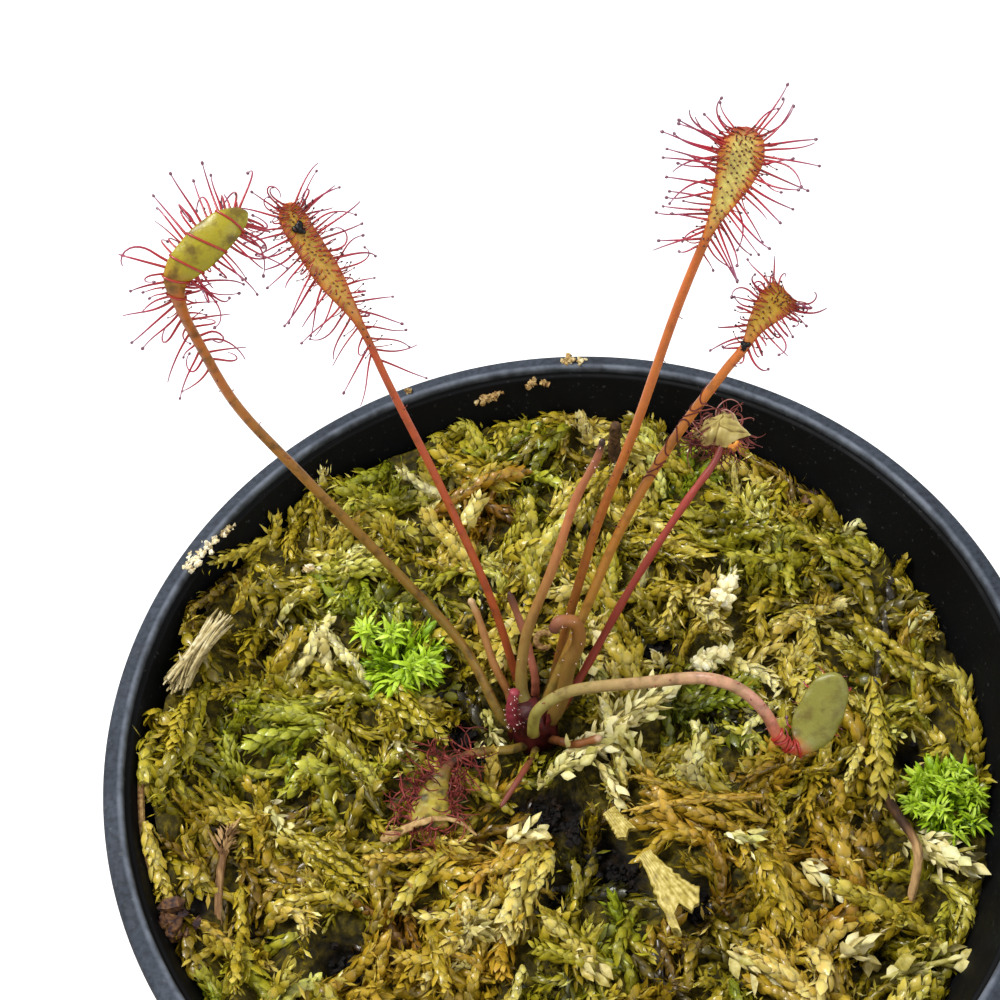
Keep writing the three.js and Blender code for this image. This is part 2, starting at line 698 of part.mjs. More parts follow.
function tuftSolid(tuft) {
  const [x, y] = tuft.at;
  const random = randomFrom(tuft.seed);
  const base = groundHeight(x, y) + 1.2;
  const solids = [tuftMound(tuft, 0)];
  for (let index = 0; index < tuft.leaves; index += 1) {
    const share = Math.sqrt((index + 0.5) / tuft.leaves);
    const angle = index * 2.4;
    const out = share * tuft.radius * 0.62;
    const foot = vector(x + out * Math.cos(angle), y + out * Math.sin(angle), base);
    const lean = share * 0.9;
    const leave = vector(Math.cos(angle) * lean, Math.sin(angle) * lean, 1).normalize();
    const length = 1.6 + random();
    const across = vector(-Math.sin(angle), Math.cos(angle), 0);
    const outward = vector(Math.cos(angle), Math.sin(angle), 0);
    const footRing = [
      foot.clone().addScaledVector(across, 0.55),
      foot.clone().addScaledVector(outward, -0.5),
      foot.clone().addScaledVector(across, -0.55),
    ];
    const middle = footRing.map((corner) => corner.clone().addScaledVector(leave, length * 0.4));
    solids.push(loft([footRing, middle], foot.clone().addScaledVector(leave, length)));
  }
  return fuse(solids);
}

// Everything that stands or lies in the moss has its own room cut out of the carpet.
function carpetSolid() {
  const rooms = [
    crownBlock(gap),
    ...leaves.map(footSpace),
    ...stalks.map((stalk) => stalkSolid(stalk, gap)),
    rod(driedLeaf.route, 12, 6, ...driedLeaf.stalk, gap),
    rod(deadLeaf.route, 12, 6, 0.5, 1.5, gap),
    ...looseStrands.map((item) => looseStrand(item, gap)),
    ...twigs.map((twig) => twigSolid(twig, gap)),
    ...tufts.map(tuftSpace),
  ];
  const carpet = fuse([groundSolid(), ...carpetStrands()]);
  return carpet.intersect(fillSolid(mixTop, moss.top)).subtract(fuse(rooms));
}

function crownSolid() {
  const body = fuse([crownBlock(0), ...roots.map((route) => rootRod(route, 0))]);
  const sockets = [
    ...leaves.map(footSpace),
    ...stalks.map((stalk) => stalkSolid(stalk, gap)),
    rod(driedLeaf.route, 12, 6, ...driedLeaf.stalk, gap),
    rod(deadLeaf.route.slice(0, 3), 4, 6, 0.5, 0.5, gap),
  ];
  return body.subtract(fuse(sockets));
}

// ---- the whole plant ----

addPiece("pot", potSolid(), colours.plastic);
const rootHoles = fuse([...roots.map((route) => rootRod(route, gap)), crownBlock(gap)]);
addPiece("growing_mix", fillSolid(pot.floorTop, mixTop).subtract(rootHoles), colours.mix);
addPiece("moss_carpet", carpetSolid().subtract(rootHoles), colours.moss, 0.12);
tufts.forEach((tuft) => addPiece(tuft.name, tuftSolid(tuft), colours.greenMoss));
looseStrands.forEach((item) => addPiece(item.name, looseStrand(item, 0), colours.dryMoss));
twigs.forEach((twig) => addPiece(twig.name, twigSolid(twig, 0), colours.twig));
addPiece("crown_and_roots", crownSolid(), colours.crimson);
leaves.forEach((leaf) => addPiece(leaf.name, leafSolid(leaf), leaf.colour));
stalks.forEach((stalk) => addPiece(stalk.name, stalkSolid(stalk), stalk.colour));
addPiece(driedLeaf.name, driedLeafSolid(), colours.dead);
addPiece(deadLeaf.name, deadLeafSolid(), colours.dead);

export default plant;
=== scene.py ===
"""Looks of a potted sundew: pot, sphagnum moss, sticky leaves, dead leaves and debris.

Lengths are in millimetres until a mesh is made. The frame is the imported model's.
"""

import math

import bpy
import numpy as np
from mathutils import Matrix, Vector


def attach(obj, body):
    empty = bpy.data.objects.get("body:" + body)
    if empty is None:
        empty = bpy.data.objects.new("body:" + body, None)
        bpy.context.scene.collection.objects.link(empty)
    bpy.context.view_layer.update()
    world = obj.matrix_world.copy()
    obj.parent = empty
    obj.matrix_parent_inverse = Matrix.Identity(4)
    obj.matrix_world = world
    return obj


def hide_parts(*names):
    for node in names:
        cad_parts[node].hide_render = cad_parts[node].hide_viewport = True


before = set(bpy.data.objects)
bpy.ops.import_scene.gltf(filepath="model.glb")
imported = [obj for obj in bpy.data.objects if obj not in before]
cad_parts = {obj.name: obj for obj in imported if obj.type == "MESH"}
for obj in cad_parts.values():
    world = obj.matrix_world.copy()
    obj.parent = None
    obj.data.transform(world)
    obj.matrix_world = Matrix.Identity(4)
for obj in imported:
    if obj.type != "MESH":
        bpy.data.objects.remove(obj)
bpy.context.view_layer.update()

MM = 0.001
TURN = 2 * math.pi
GOLDEN_ANGLE = math.pi * (3 - math.sqrt(5))
GOLDEN_SHARE = 0.618
SPIRAL_STEP = 2.4
UP = np.array([0.0, 0.0, 1.0])

# ---- driving dimensions, the same as the CAD model's ----

POT = {"height": 70, "rim": 40, "rim_depth": 9, "rim_set": 1.7, "lip": 1.8, "foot": 27,
       "wall": 1.2, "floor": 3, "raise": 1.5, "foot_ring": 6}
DRAIN = {"count": 8, "circle": 15, "radius": 2.4, "middle": 3}
POT_SIDES = 240
HOLE_SIDES = 48
MIX_TOP = 56
MOSS = {"level": 61.2, "rise": 0.045, "lean": 0.05, "edge": 36.4, "edge_drop": 0.2,
        "edge_band": 4, "relief": 0.45, "strands": 54, "length": 12, "radius": 1.9}
CROWN = {"x": -3.3, "y": 3.2, "radius": 2.5, "top": 64.6, "hollow": 5, "dip": 1.1}


# ---- vectors, noise and routes ----

def unit(vectors):
    length = np.linalg.norm(vectors, axis=-1, keepdims=True)
    return vectors / np.maximum(length, 1e-9)


def dot(a, b):
    return np.sum(a * b, axis=-1, keepdims=True)


def smooth(start, end, value):
    t = np.clip((value - start) / (end - start), 0, 1)
    return t * t * (3 - 2 * t)


def circle(sides):
    """Angles that go once round."""
    return np.arange(sides) / sides * TURN


def pointing(heading, pitch):
    """Unit vectors at headings and pitches over the level."""
    heading, pitch = np.broadcast_arrays(heading, pitch)
    level = np.cos(pitch)
    return np.stack([np.cos(heading) * level, np.sin(heading) * level, np.sin(pitch)], axis=-1)


def sunflower(count):
    """Distances, as shares, and angles that strew places evenly over a disc."""
    index = np.arange(count)
    return np.sqrt((index + 0.5) / count), index * GOLDEN_ANGLE


def ripple(x, y, size, seed):
    """Smooth noise over the plane, mostly between -1 and 1, with swells about size wide."""
    rng = np.random.default_rng(seed)
    swells = 7
    waves = zip(rng.uniform(0, TURN, swells), rng.uniform(0, TURN, swells), rng.uniform(0.7, 1.6, swells))
    total = 0
    for heading, phase, stretch in waves:
        wave = (x * math.cos(heading) + y * math.sin(heading)) * math.pi / size * stretch
        total = total + np.sin(wave + phase)
    return total / 3.2


def turned(vectors, axis, angle):
    """Vectors turned round unit axes by angles, all of them arrays of the same length."""
    angle = np.asarray(angle)[..., None]
    across = np.cross(axis, vectors)
    return vectors * np.cos(angle) + across * np.sin(angle) + axis * dot(axis, vectors) * (1 - np.cos(angle))


def catmull_rom(points, t):
    """Places on the centripetal Catmull-Rom curve through points, at shares t of its spans."""
    points = np.array(points, float)
    ends = np.vstack([2 * points[0] - points[1], points, 2 * points[-1] - points[-2]])
    span = np.clip(np.asarray(t, float) * (len(points) - 1), 0, len(points) - 1 - 1e-9)
    index = span.astype(int)
    share = (span - index)[:, None]
    a, b, c, d = (ends[index + step] for step in range(4))
    ab, bc, cd = (np.sqrt(np.linalg.norm(q - p, axis=1))[:, None] for p, q in ((a, b), (b, c), (c, d)))
    leave = ((b - a) / ab - (c - a) / (ab + bc) + (c - b) / bc) * bc
    arrive = ((c - b) / bc - (d - b) / (bc + cd) + (d - c) / cd) * bc
    return (b + leave * share + (3 * (c - b) - 2 * leave - arrive) * share ** 2
            + (2 * (b - c) + leave + arrive) * share ** 3)


def frames(paths):
    """Unit tangent, across and outward vectors along paths (rods, steps, 3), with the least turning."""
    tangent = unit(np.gradient(paths, axis=-2))
    across = np.empty_like(paths)
    upright = np.abs(tangent[..., 0, 2:3]) > 0.9
    helper = np.where(upright, np.array([1.0, 0, 0]), UP)
    across[..., 0, :] = unit(np.cross(tangent[..., 0, :], helper))
    for step in range(1, paths.shape[-2]):
        carried = across[..., step - 1, :]
        here = tangent[..., step, :]
        across[..., step, :] = unit(carried - here * dot(carried, here))
    return tangent, across, np.cross(across, tangent)


def between(values, places):
    """Rows of values (rods, steps, n) at places (rods, many), given as shares of the steps."""
    steps = values.shape[1] - 1
    low = np.clip((places * steps).astype(int), 0, steps - 1)
    share = (places * steps - low)[..., None]
    rods = np.arange(len(values))[:, None]
    return values[rods, low] * (1 - share) + values[rods, low + 1] * share


# ---- meshes ----

class Skin:
    """Vertices, triangles and the numbers that each vertex carries to its material."""

    def __init__(self):
        self.points, self.faces, self.numbers, self.count = [], [], {}, 0

    def add(self, points, faces, **numbers):
        points = np.asarray(points, float).reshape(-1, 3)
        faces = np.asarray(faces, int)
        if faces.shape[1] == 4:
            faces = np.vstack([faces[:, [0, 1, 2]], faces[:, [0, 2, 3]]])
        self.points.append(points)
        self.faces.append(faces + self.count)
        for key, value in numbers.items():
            filled = np.full(len(points), float(value)) if np.ndim(value) == 0 else value
            self.numbers.setdefault(key, []).append(np.asarray(filled, float).ravel())
        self.count += len(points)


def piece(name, skin, look, stands_for=(), flat=False):
    """A piece of the plant from a skin, riding on the one body."""
    points = np.concatenate(skin.points) * MM
    faces = np.concatenate(skin.faces)
    mesh = bpy.data.meshes.new(name)
    mesh.vertices.add(len(points))
    mesh.vertices.foreach_set("co", points.astype(np.float32).ravel())
    mesh.loops.add(faces.size)
    mesh.loops.foreach_set("vertex_index", faces.astype(np.int32).ravel())
    mesh.polygons.add(len(faces))
    mesh.polygons.foreach_set("loop_start", np.arange(0, faces.size, 3, dtype=np.int32))
    mesh.polygons.foreach_set("use_smooth", np.full(len(faces), not flat))
    mesh.update(calc_edges=True)
    for key, values in skin.numbers.items():
        attribute = mesh.attributes.new(key, "FLOAT", "POINT")
        attribute.data.foreach_set("value", np.concatenate(values).astype(np.float32))
    mesh.materials.append(look)
    made = bpy.data.objects.new(name, mesh)
    bpy.context.scene.collection.objects.link(made)
    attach(made, "root")
    if stands_for:
        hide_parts(*stands_for)
    return made


def grid_faces(rings, sides, closed=True):
    """Quads that join rings of equal size, as rows of four corner numbers."""
    ring, side = np.meshgrid(np.arange(rings - 1), np.arange(sides if closed else sides - 1), indexing="ij")
    a = (ring * sides + side).ravel()
    b = (ring * sides + (side + 1) % sides).ravel()
    return np.stack([a, b, b + sides, a + sides], axis=1)


def loft(rings):
    """A closed skin over rings (rings, sides, 3), with a middle point at both ends."""
    count, sides = rings.shape[:2]
    points = np.vstack([rings.reshape(-1, 3), rings[0].mean(0), rings[-1].mean(0)])
    quads = grid_faces(count, sides)
    side = np.arange(sides)
    after = (side + 1) % sides
    last = (count - 1) * sides
    start = np.stack([after, side, np.full(sides, count * sides)], axis=1)
    end = np.stack([side + last, after + last, np.full(sides, count * sides + 1)], axis=1)
    return points, np.vstack([quads[:, [0, 1, 2]], quads[:, [0, 2, 3]], start, end])


def hoops(path, across, outward, radius, angle, flat=1.0):
    """Rings round a path at radii (steps, sides or 1) and angles (1, sides), flattened outward."""
    way = np.cos(angle)[..., None] * across[:, None] - np.sin(angle)[..., None] * outward[:, None] * flat
    return path[:, None] + radius[..., None] * way


def lathed(line, sides, swell=1.0, centre=(0, 0)):
    """Rings of a profile, given as radii and heights, turned round an upright axis."""
    angle = circle(sides)
    out = line[:, :1] * swell
    high = np.repeat(line[:, 1:], sides, axis=1)
    return np.stack([centre[0] + out * np.cos(angle), centre[1] + out * np.sin(angle), high], axis=-1)


def on_rings(values, sides, ends):
    """A number for each ring of a loft and for its two end points."""
    return np.concatenate([np.repeat(values, sides), ends])


def each(numbers, times):
    """Numbers of parts, given to every one of a part's vertices."""
    return {key: np.repeat(values, times) for key, values in numbers.items()}


def tubes(paths, radii, sides):
    """Round rods along paths (rods, steps, 3) with radii (rods, steps), open at both ends."""
    rods, steps = paths.shape[:2]
    _, across, outward = frames(paths)
    angle = circle(sides)
    ring = np.cos(angle)[:, None] * across[..., None, :] + np.sin(angle)[:, None] * outward[..., None, :]
    points = paths[..., None, :] + ring * radii[..., None, None]
    faces = grid_faces(steps, sides)
    faces = faces[None] + (np.arange(rods) * steps * sides)[:, None, None]
    return points.reshape(-1, 3), faces.reshape(-1, 4)[:, [0, 3, 2, 1]]


def balls(centres, axes, radii, stretch, rings=5, sides=7):
    """Small round bodies, stretched along their axes."""
    tilt = np.linspace(0.12, math.pi - 0.12, rings)
    angle = circle(sides)
    across = unit(np.cross(axes, np.array([0.31, 0.17, 0.93])))
    outward = np.cross(axes, across)
    ring = np.cos(angle)[None, :, None] * across[:, None] + np.sin(angle)[None, :, None] * outward[:, None]
    high = -np.cos(tilt)[None, :, None, None] * axes[:, None, None] * stretch
    wide = np.sin(tilt)[None, :, None, None] * ring[:, None]
    points = centres[:, None, None] + (high + wide) * radii[:, None, None, None]
    faces = grid_faces(rings, sides)
    faces = faces[None] + (np.arange(len(centres)) * rings * sides)[:, None, None]
    return points.reshape(-1, 3), faces.reshape(-1, 4)


# Half widths of a small leaf at its rows, as shares of the widest.
PLUMP = (0.88, 1.0, 0.68)
STUBBY = (1.0, 0.8)
POINTED = (0.8, 1.0, 0.58)
NEEDLE = (1.0,)


def leaflets(roots, ways, outward, length, width, cup, curl, bulge, outline=PLUMP):
    """Small boat-shaped leaves. ways is where they point, outward the side that they bulge to.
    Returns the points, the triangles, each point's share of the way to the tip, and 1 at the side edges."""
    count, rows = len(roots), len(outline)
    side = unit(np.cross(ways, outward))
    shares = np.linspace(0, 1, rows + 2)[1:-1]
    points = np.empty((count, 3 * rows + 2, 3))
    points[:, 0] = roots
    length, width, curl = (np.broadcast_to(value, (count,))[:, None] for value in (length, width, curl))
    for row, (share, wide) in enumerate(zip(shares, outline)):
        rise = bulge * math.sin(math.pi * share) - curl * share ** 2
        middle = roots + ways * length * share + outward * rise * length
        half = width * 0.5 * wide
        points[:, 1 + 3 * row] = middle + side * half - outward * half * cup
        points[:, 2 + 3 * row] = middle
        points[:, 3 + 3 * row] = middle - side * half - outward * half * cup
    points[:, -1] = roots + ways * length - outward * curl * length
    faces = [[0, 2, 1], [0, 3, 2]]
    for row in range(rows - 1):
        a = 1 + 3 * row
        faces += [[a, a + 1, a + 4], [a, a + 4, a + 3], [a + 1, a + 2, a + 5], [a + 1, a + 5, a + 4]]
    a, tip = 3 * rows - 2, 3 * rows + 1
    faces += [[a, a + 1, tip], [a + 1, a + 2, tip]]
    faces = np.array(faces)[None] + (np.arange(count) * (3 * rows + 2))[:, None, None]
    share = np.concatenate([[0], np.repeat(shares, 3), [1]])
    rim = np.concatenate([[0], np.tile([1, 0, 1], rows), [0.7]])
    return points.reshape(-1, 3), faces.reshape(-1, 3), np.tile(share, count), np.tile(rim, count)


# ---- materials ----

def colour(code):
    """Linear colour of a web colour code."""
    values = [int(code[place:place + 2], 16) / 255 for place in (1, 3, 5)]
    return [v / 12.92 if v <= 0.04045 else ((v + 0.055) / 1.055) ** 2.4 for v in values] + [1.0]


class Look:
    """A material of nodes round one Principled shader. Lengths in it are millimetres."""

    def __init__(self, name, **sockets):
        self.made = bpy.data.materials.new(name)
        self.made.use_nodes = True
        self.tree = self.made.node_tree
        self.shader = self.tree.nodes["Principled BSDF"]
        self.place = self.node("ShaderNodeTexCoord").outputs["Object"]
        for key, value in sockets.items():
            self.set(key.replace("_", " ").title().replace("Ior", "IOR"), value)

    def node(self, kind, inputs=None, **settings):
        node = self.tree.nodes.new(kind)
        for key, value in settings.items():
            setattr(node, key, value)
        for key, value in (inputs or {}).items():
            self.feed(node.inputs[key], value)
        return node

    def feed(self, socket, value):
        if isinstance(value, bpy.types.NodeSocket):
            self.tree.links.new(value, socket)
        else:
            socket.default_value = value

    def set(self, socket, value):
        self.feed(self.shader.inputs[socket], value)

    def number(self, name):
        return self.node("ShaderNodeAttribute", attribute_name=name).outputs["Fac"]

    def noise(self, size, detail=3.0, stretch=None):
        """Noise with spots about size across. stretch scales the three directions first."""
        place = self.place
        if stretch:
            place = self.node("ShaderNodeMapping", {"Vector": place, "Scale": stretch}).outputs[0]
        made = self.node("ShaderNodeTexNoise", {"Vector": place, "Scale": 1 / (size * MM), "Detail": detail})
        return made.outputs["Fac"]

    def share(self, length, start, end):
        """How far a length has come from start to end, from 0 to 1."""
        ends = {"Value": length, "From Min": start * MM, "From Max": end * MM}
        return self.node("ShaderNodeMapRange", ends).outputs[0]

    def maths(self, operation, a, b, clamp=False):
        return self.node("ShaderNodeMath", {0: a, 1: b}, operation=operation, use_clamp=clamp).outputs[0]

    def varied(self, name, grain, amount, more=0.0):
        """A number of the vertices, moved up and down by noise and by more, from 0 to 1."""
        swing = self.maths("SUBTRACT", self.maths("MULTIPLY", grain, amount), amount / 2)
        return self.maths("ADD", self.number(name), self.maths("ADD", swing, more), clamp=True)

    def ramp(self, value, *stops):
        """Colours or greys at places from 0 to 1."""
        node = self.node("ShaderNodeValToRGB", {"Fac": value})
        marks = node.color_ramp.elements
        while len(marks) < len(stops):
            marks.new(0.5)
        for mark, (place, tint) in zip(marks, stops):
            mark.position = place
            mark.color = colour(tint) if isinstance(tint, str) else [tint, tint, tint, 1]
        return node.outputs["Color"]

    def mix(self, factor, a, b, way="MIX"):
        node = self.node("ShaderNodeMix", {0: factor}, data_type="RGBA", blend_type=way)
        self.feed(node.inputs["A"], colour(a) if isinstance(a, str) else a)
        self.feed(node.inputs["B"], colour(b) if isinstance(b, str) else b)
        return node.outputs["Result"]

    def shade(self, base, *stops):
        """Sets the base colour, darkened towards each small leaf's root as painted shade where the leaves
        overlap.
        """
        depth = self.ramp(self.number("leaf"), *stops)
        self.set("Base Color", self.mix(1.0, base, depth, "MULTIPLY"))

    def bump(self, height, depth, strength=1.0):
        node = self.node("ShaderNodeBump", {"Height": height, "Distance": depth * MM, "Strength": strength})
        self.set("Normal", node.outputs["Normal"])


def moss_look(name):
    """Wet sphagnum: each strand has its own tone, with green and amber drifts, and leaf edges a little paler
    as painted light shining through them.
    """
    look = Look(name, specular_ior_level=0.35, coat_weight=0.25, coat_roughness=0.12,
                subsurface_weight=0.5, subsurface_scale=0.001)
    look.set("Subsurface Radius", (1.0, 0.8, 0.2))
    # Painted light: the thin leaf edges are a little paler, as if lit through.
    edge_glow = look.maths("MULTIPLY", look.number("rim"), 0.05)
    tone = look.varied("tone", look.noise(1.3, 3), 0.4, edge_glow)
    straw = look.ramp(tone, (0.0, "#1c1602"), (0.2, "#504507"), (0.42, "#8b7a0c"), (0.64, "#b89f26"),
                      (0.84, "#cfbb58"), (1.0, "#e2d590"))
    green = look.ramp(tone, (0.0, "#1c2202"), (0.35, "#626c08"), (0.7, "#9aa61e"), (1.0, "#c8d05c"))
    amber = look.ramp(tone, (0.0, "#382004"), (0.45, "#90600a"), (0.8, "#c19024"), (1.0, "#dac062"))
    base = look.mix(look.number("amber"), look.mix(look.number("green"), straw, green), amber)
    # Painted shade: the leaves are darker towards their roots, where the leaves around them cover them.
    look.shade(base, (0.0, 0.5), (0.4, 0.88), (1.0, 1.0))
    look.set("Roughness", look.ramp(look.noise(0.9, 2), (0.3, 0.32), (0.7, 0.55)))
    look.bump(look.noise(0.45, 2), 0.1, 0.4)
    return look.made


def leaf_look(name, stalk, centre, margin, back, tip, turns, stain):
    """A sundew leaf: its stalk's colours from foot to blade, then the blade's face, edges and back.
    turns is where on the blade the stalk's colour gives way, stain how strongly dark spots show."""
    look = Look(name, specular_ior_level=0.35, subsurface_weight=0.15, subsurface_scale=0.001,
                coat_weight=0.1, coat_roughness=0.2)
    look.set("Subsurface Radius", (0.6, 0.3, 0.12))
    mottle = look.noise(0.9, 4)
    run = look.ramp(look.number("along"), *stalk)
    run = look.mix(look.ramp(look.noise(0.5, 3, (1, 1, 0.25)), (0.35, 0.0), (0.75, 0.35)), run, margin)
    edge = look.varied("edge", mottle, 0.5)
    face = look.mix(look.ramp(edge, (0.35, 0.0), (0.85, 1.0)), centre, margin)
    face = look.mix(look.ramp(look.number("blade"), (0.78, 0.0), (0.97, 1.0)), face, tip)
    side = look.mix(look.ramp(look.number("upper"), (0.35, 0.0), (0.65, 1.0)), back, face)
    body = look.mix(look.ramp(look.number("blade"), (turns[0], 0.0), (turns[1], 1.0)), run, side)
    body = look.mix(look.ramp(mottle, (0.4, 0.0), (0.8, 0.3)), body, tip)
    spots = look.ramp(look.noise(1.1, 5), (0.5, 0.0), (0.68, stain))
    look.set("Base Color", look.mix(spots, body, "#4a3208"))
    look.set("Roughness", look.ramp(look.noise(0.6, 2), (0.3, 0.32), (0.7, 0.5)))
    look.bump(look.noise(0.22, 3), 0.06, 0.6)
    return look.made


def tentacle_look(name, *stops):
    """Tentacles from root, at 0, to the neck of the bead, at 0.85, with the bead above that."""
    look = Look(name, specular_ior_level=0.4, subsurface_weight=0.15, subsurface_scale=0.0005,
                coat_weight=0.3, coat_roughness=0.08)
    shade = look.ramp(look.number("place"), *stops)
    look.set("Base Color", look.mix(look.ramp(look.noise(0.5, 2), (0.3, 0.0), (0.9, 0.2)), shade, "#8c1830"))
    look.set("Roughness", look.ramp(look.number("place"), (0.0, 0.45), (0.85, 0.35), (0.95, 0.18)))
    return look.made


def fibre_look(name, *stops, size=0.5, stretch=(1, 1, 1), rough=0.75, depth=0.12):
    """Dry plant matter: colour from streaky noise and each part's own tone."""
    look = Look(name, specular_ior_level=0.3)
    streak = look.noise(size, 5, stretch)
    value = look.maths("ADD", look.maths("MULTIPLY", streak, 0.75), look.number("tone"), clamp=True)
    look.set("Base Color", look.ramp(value, *stops))
    look.set("Roughness", look.ramp(streak, (0.2, rough - 0.12), (0.8, rough + 0.1)))
    look.bump(streak, depth, 0.8)
    return look.made


# ---- the pot ----

def rounded(profile, radius, steps=4):
    """A profile with its corners turned into small arcs."""
    made = [profile[0]]
    for before, corner, after in zip(profile, profile[1:], profile[2:]):
        before, corner, after = (np.array(p, float) for p in (before, corner, after))
        reach = min(radius, 0.45 * np.linalg.norm(before - corner), 0.45 * np.linalg.norm(after - corner))
        start = corner + unit(before - corner) * reach
        end = corner + unit(after - corner) * reach
        for share in np.linspace(0, 1, steps):
            made.append((1 - share) ** 2 * start + 2 * share * (1 - share) * corner + share ** 2 * end)
    return np.array(made + [profile[-1]], float)


def pot_look():
    """Black plastic, dusty and scuffed on the lip, with a painted sheen on the lip's top and a painted
    highlight along its inner edge, and dried water marks on the wall.
    """
    look = Look("black_plastic", specular_ior_level=0.12)
    place = look.node("ShaderNodeSeparateXYZ", {"Vector": look.place}).outputs
    normal = look.node("ShaderNodeNewGeometry").outputs["Normal"]
    facing = look.node("ShaderNodeSeparateXYZ", {"Vector": normal}).outputs
    on_lip = look.share(place["Z"], POT["height"] - 0.9, POT["height"] - 0.2)
    level = look.node("ShaderNodeCombineXYZ", {"X": place["X"], "Y": place["Y"]}).outputs[0]
    radius = look.node("ShaderNodeVectorMath", {0: level}, operation="LENGTH").outputs["Value"]
    inner = POT["rim"] - POT["lip"]
    # A lighter line along the lip's inner edge: scuffs, with a painted highlight.
    wear_and_highlight = look.maths("MULTIPLY", look.share(radius, inner + 0.5, inner + 0.2), on_lip)
    wear_and_highlight = look.maths("MULTIPLY", wear_and_highlight, look.ramp(look.noise(1.5, 4), (0.35, 0.25), (0.65, 0.7)))
    # Dust on the lip's up-facing top, with a painted sheen of light on it.
    upward = look.ramp(facing["Z"], (0.1, 0.0), (0.8, 1.0))
    cloud = look.ramp(look.noise(6, 5), (0.3, 0.6), (0.7, 1.0))
    cloud = look.maths("MULTIPLY", cloud, look.ramp(look.noise(0.5, 3), (0.35, 0.6), (0.6, 1.0)))
    dust_and_sheen = look.maths("MULTIPLY", look.maths("MULTIPLY", on_lip, upward), cloud)
    wall = look.ramp(look.noise(9, 6, (1, 1, 0.35)), (0.35, "#030304"), (0.62, "#060709"), (0.8, "#121418"))
    speck = look.ramp(look.noise(0.45, 2), (0.67, 0.0), (0.74, 0.6))
    base = look.mix(wear_and_highlight, look.mix(dust_and_sheen, wall, "#3d434d"), "#767d88")
    look.set("Base Color", look.mix(look.maths("MULTIPLY", speck, 0.16), base, "#8a8c88"))
    look.set("Roughness", look.ramp(look.noise(2.5, 5), (0.3, 0.55), (0.7, 0.72)))
    look.bump(look.noise(0.5, 4), 0.03, 0.5)
    return look.made


def pot_shell():
    """The pot's wall, floor and foot ring, with the drain holes cut out."""
    rim, height, lip, foot = POT["rim"], POT["height"], POT["rim"] - POT["lip"], POT["foot"]
    band = height - POT["rim_depth"]
    inner = foot - POT["foot_ring"]
    profile = [(0.001, POT["raise"]), (inner, POT["raise"]), (inner + 0.8, 0), (foot - 0.8, 0), (foot, 0.8),
               (rim - POT["rim_set"], band), (rim - 0.4, band), (rim, band + 0.6), (rim, height - 0.6),
               (rim - 0.35, height), (lip + 0.2, height), (lip, height - 0.25),
               (lip, height - 1), (lip - 0.4, height - 1.1), (foot - POT["wall"], POT["floor"]),
               (0.001, POT["floor"])]
    skin = Skin()
    skin.add(*loft(lathed(rounded(profile, 0.35), POT_SIDES)))
    shell = piece("pot_shell", skin, pot_look(), ["pot"])
    cutter = Skin()
    holes = [(0, 0, DRAIN["middle"])]
    for turn in circle(DRAIN["count"]):
        holes.append((DRAIN["circle"] * math.cos(turn), DRAIN["circle"] * math.sin(turn), DRAIN["radius"]))
    for x, y, radius in holes:
        line = np.array([(radius, -1.0), (radius, POT["floor"] + 1)])
        cutter.add(*loft(lathed(line, HOLE_SIDES, centre=(x, y))))
    tool = piece("drain_cutter", cutter, shell.data.materials[0])
    cut = shell.modifiers.new("drain", "BOOLEAN")
    cut.object, cut.operation, cut.solver = tool, "DIFFERENCE", "EXACT"
    bpy.context.view_layer.update()
    shell.data = bpy.data.meshes.new_from_object(shell.evaluated_get(bpy.context.evaluated_depsgraph_get()))
    shell.modifiers.clear()
    bpy.data.objects.remove(tool)


# ---- the moss bed ----

# Places on the moss, seen from above: x, y, and how far the place spreads.
HOLLOWS = [(2.5, -11.2, 2.4), (8.8, -14.2, 1.8), (-21.4, -16.4, 2.2), (-2.7, -12.4, 1.6), (8.6, 10.3, 2.0),
           (17.5, 22.6, 1.8), (-10.6, 6.6, 1.8), (-24.5, -3.4, 1.6), (-1.3, 31.0, 2.0), (22.4, -19.4, 1.6),
           (4.7, -20.9, 1.8), (-31.2, -1.2, 1.6), (-28.7, -13.8, 1.8), (-11.2, 23.5, 1.8),
           (-33.0, -11.2, 1.6), (14.5, 16.8, 1.3), (-3.9, -5.6, 1.7), (20, 10, 1.4), (-7, 16, 1.5),
           (27, 20, 1.5), (-18, -25, 1.8), (14, -27, 1.6), (30, -3, 1.3), (-27, 15, 1.4),
           (9.0, 10.0, 1.8), (-10.2, 3.9, 1.4), (-9.0, 1.3, 1.2), (-4.7, -4.6, 1.5), (-1.6, -5.0, 1.8),
           (13, 1.6, 1.3), (1.2, -8.5, 1.5)]
GREENS = [(-15.4, 11.0, 3.6), (31.1, -9.3, 4.6), (-0.8, -10.0, 3.2), (15.7, 28.8, 3.5), (-18.4, 16.9, 3.8),
          (-27.1, 5.4, 4.5), (12.1, 3.6, 2.6), (28.8, 15.8, 4.0), (1.7, -16.9, 2.5), (-1.1, 33.0, 3.0),
          (-13.7, 32.0, 3.5), (10, -30, 4.0), (-28, -22, 3.5)]
AMBERS = [(9.6, -7.4, 3.4), (16.7, -4.6, 2.6), (-16.3, -13.4, 3.0), (20.7, -13.3, 3.2), (-9.2, -9.5, 3.0),
          (31.1, 6.6, 3.0), (-6.5, 27, 3.0), (0, -30, 3.5)]
PALES = [(-4.9, -9.6, 1.6), (23.4, -21.0, 3.0), (24.6, 18.8, 2.4), (27.5, 7.1, 2.4), (-9.7, -15.5, 2.6),
         (-24, 12, 2.2), (18, 1, 2), (-10, 28, 2.5)]

# The moss rises along the wall, most of all this way.
HEAP = {"all_round": 1.7, "heading": math.radians(205), "height": 3.2, "band": (30, 36.5)}


def spread(places, x, y):
    """1 in the middle of the nearest places, falling to 0 away from them."""
    total = 0
    for at_x, at_y, size in places:
        total = total + np.exp(-((x - at_x) ** 2 + (y - at_y) ** 2) / (size * size))
    return np.clip(total, 0, 1)


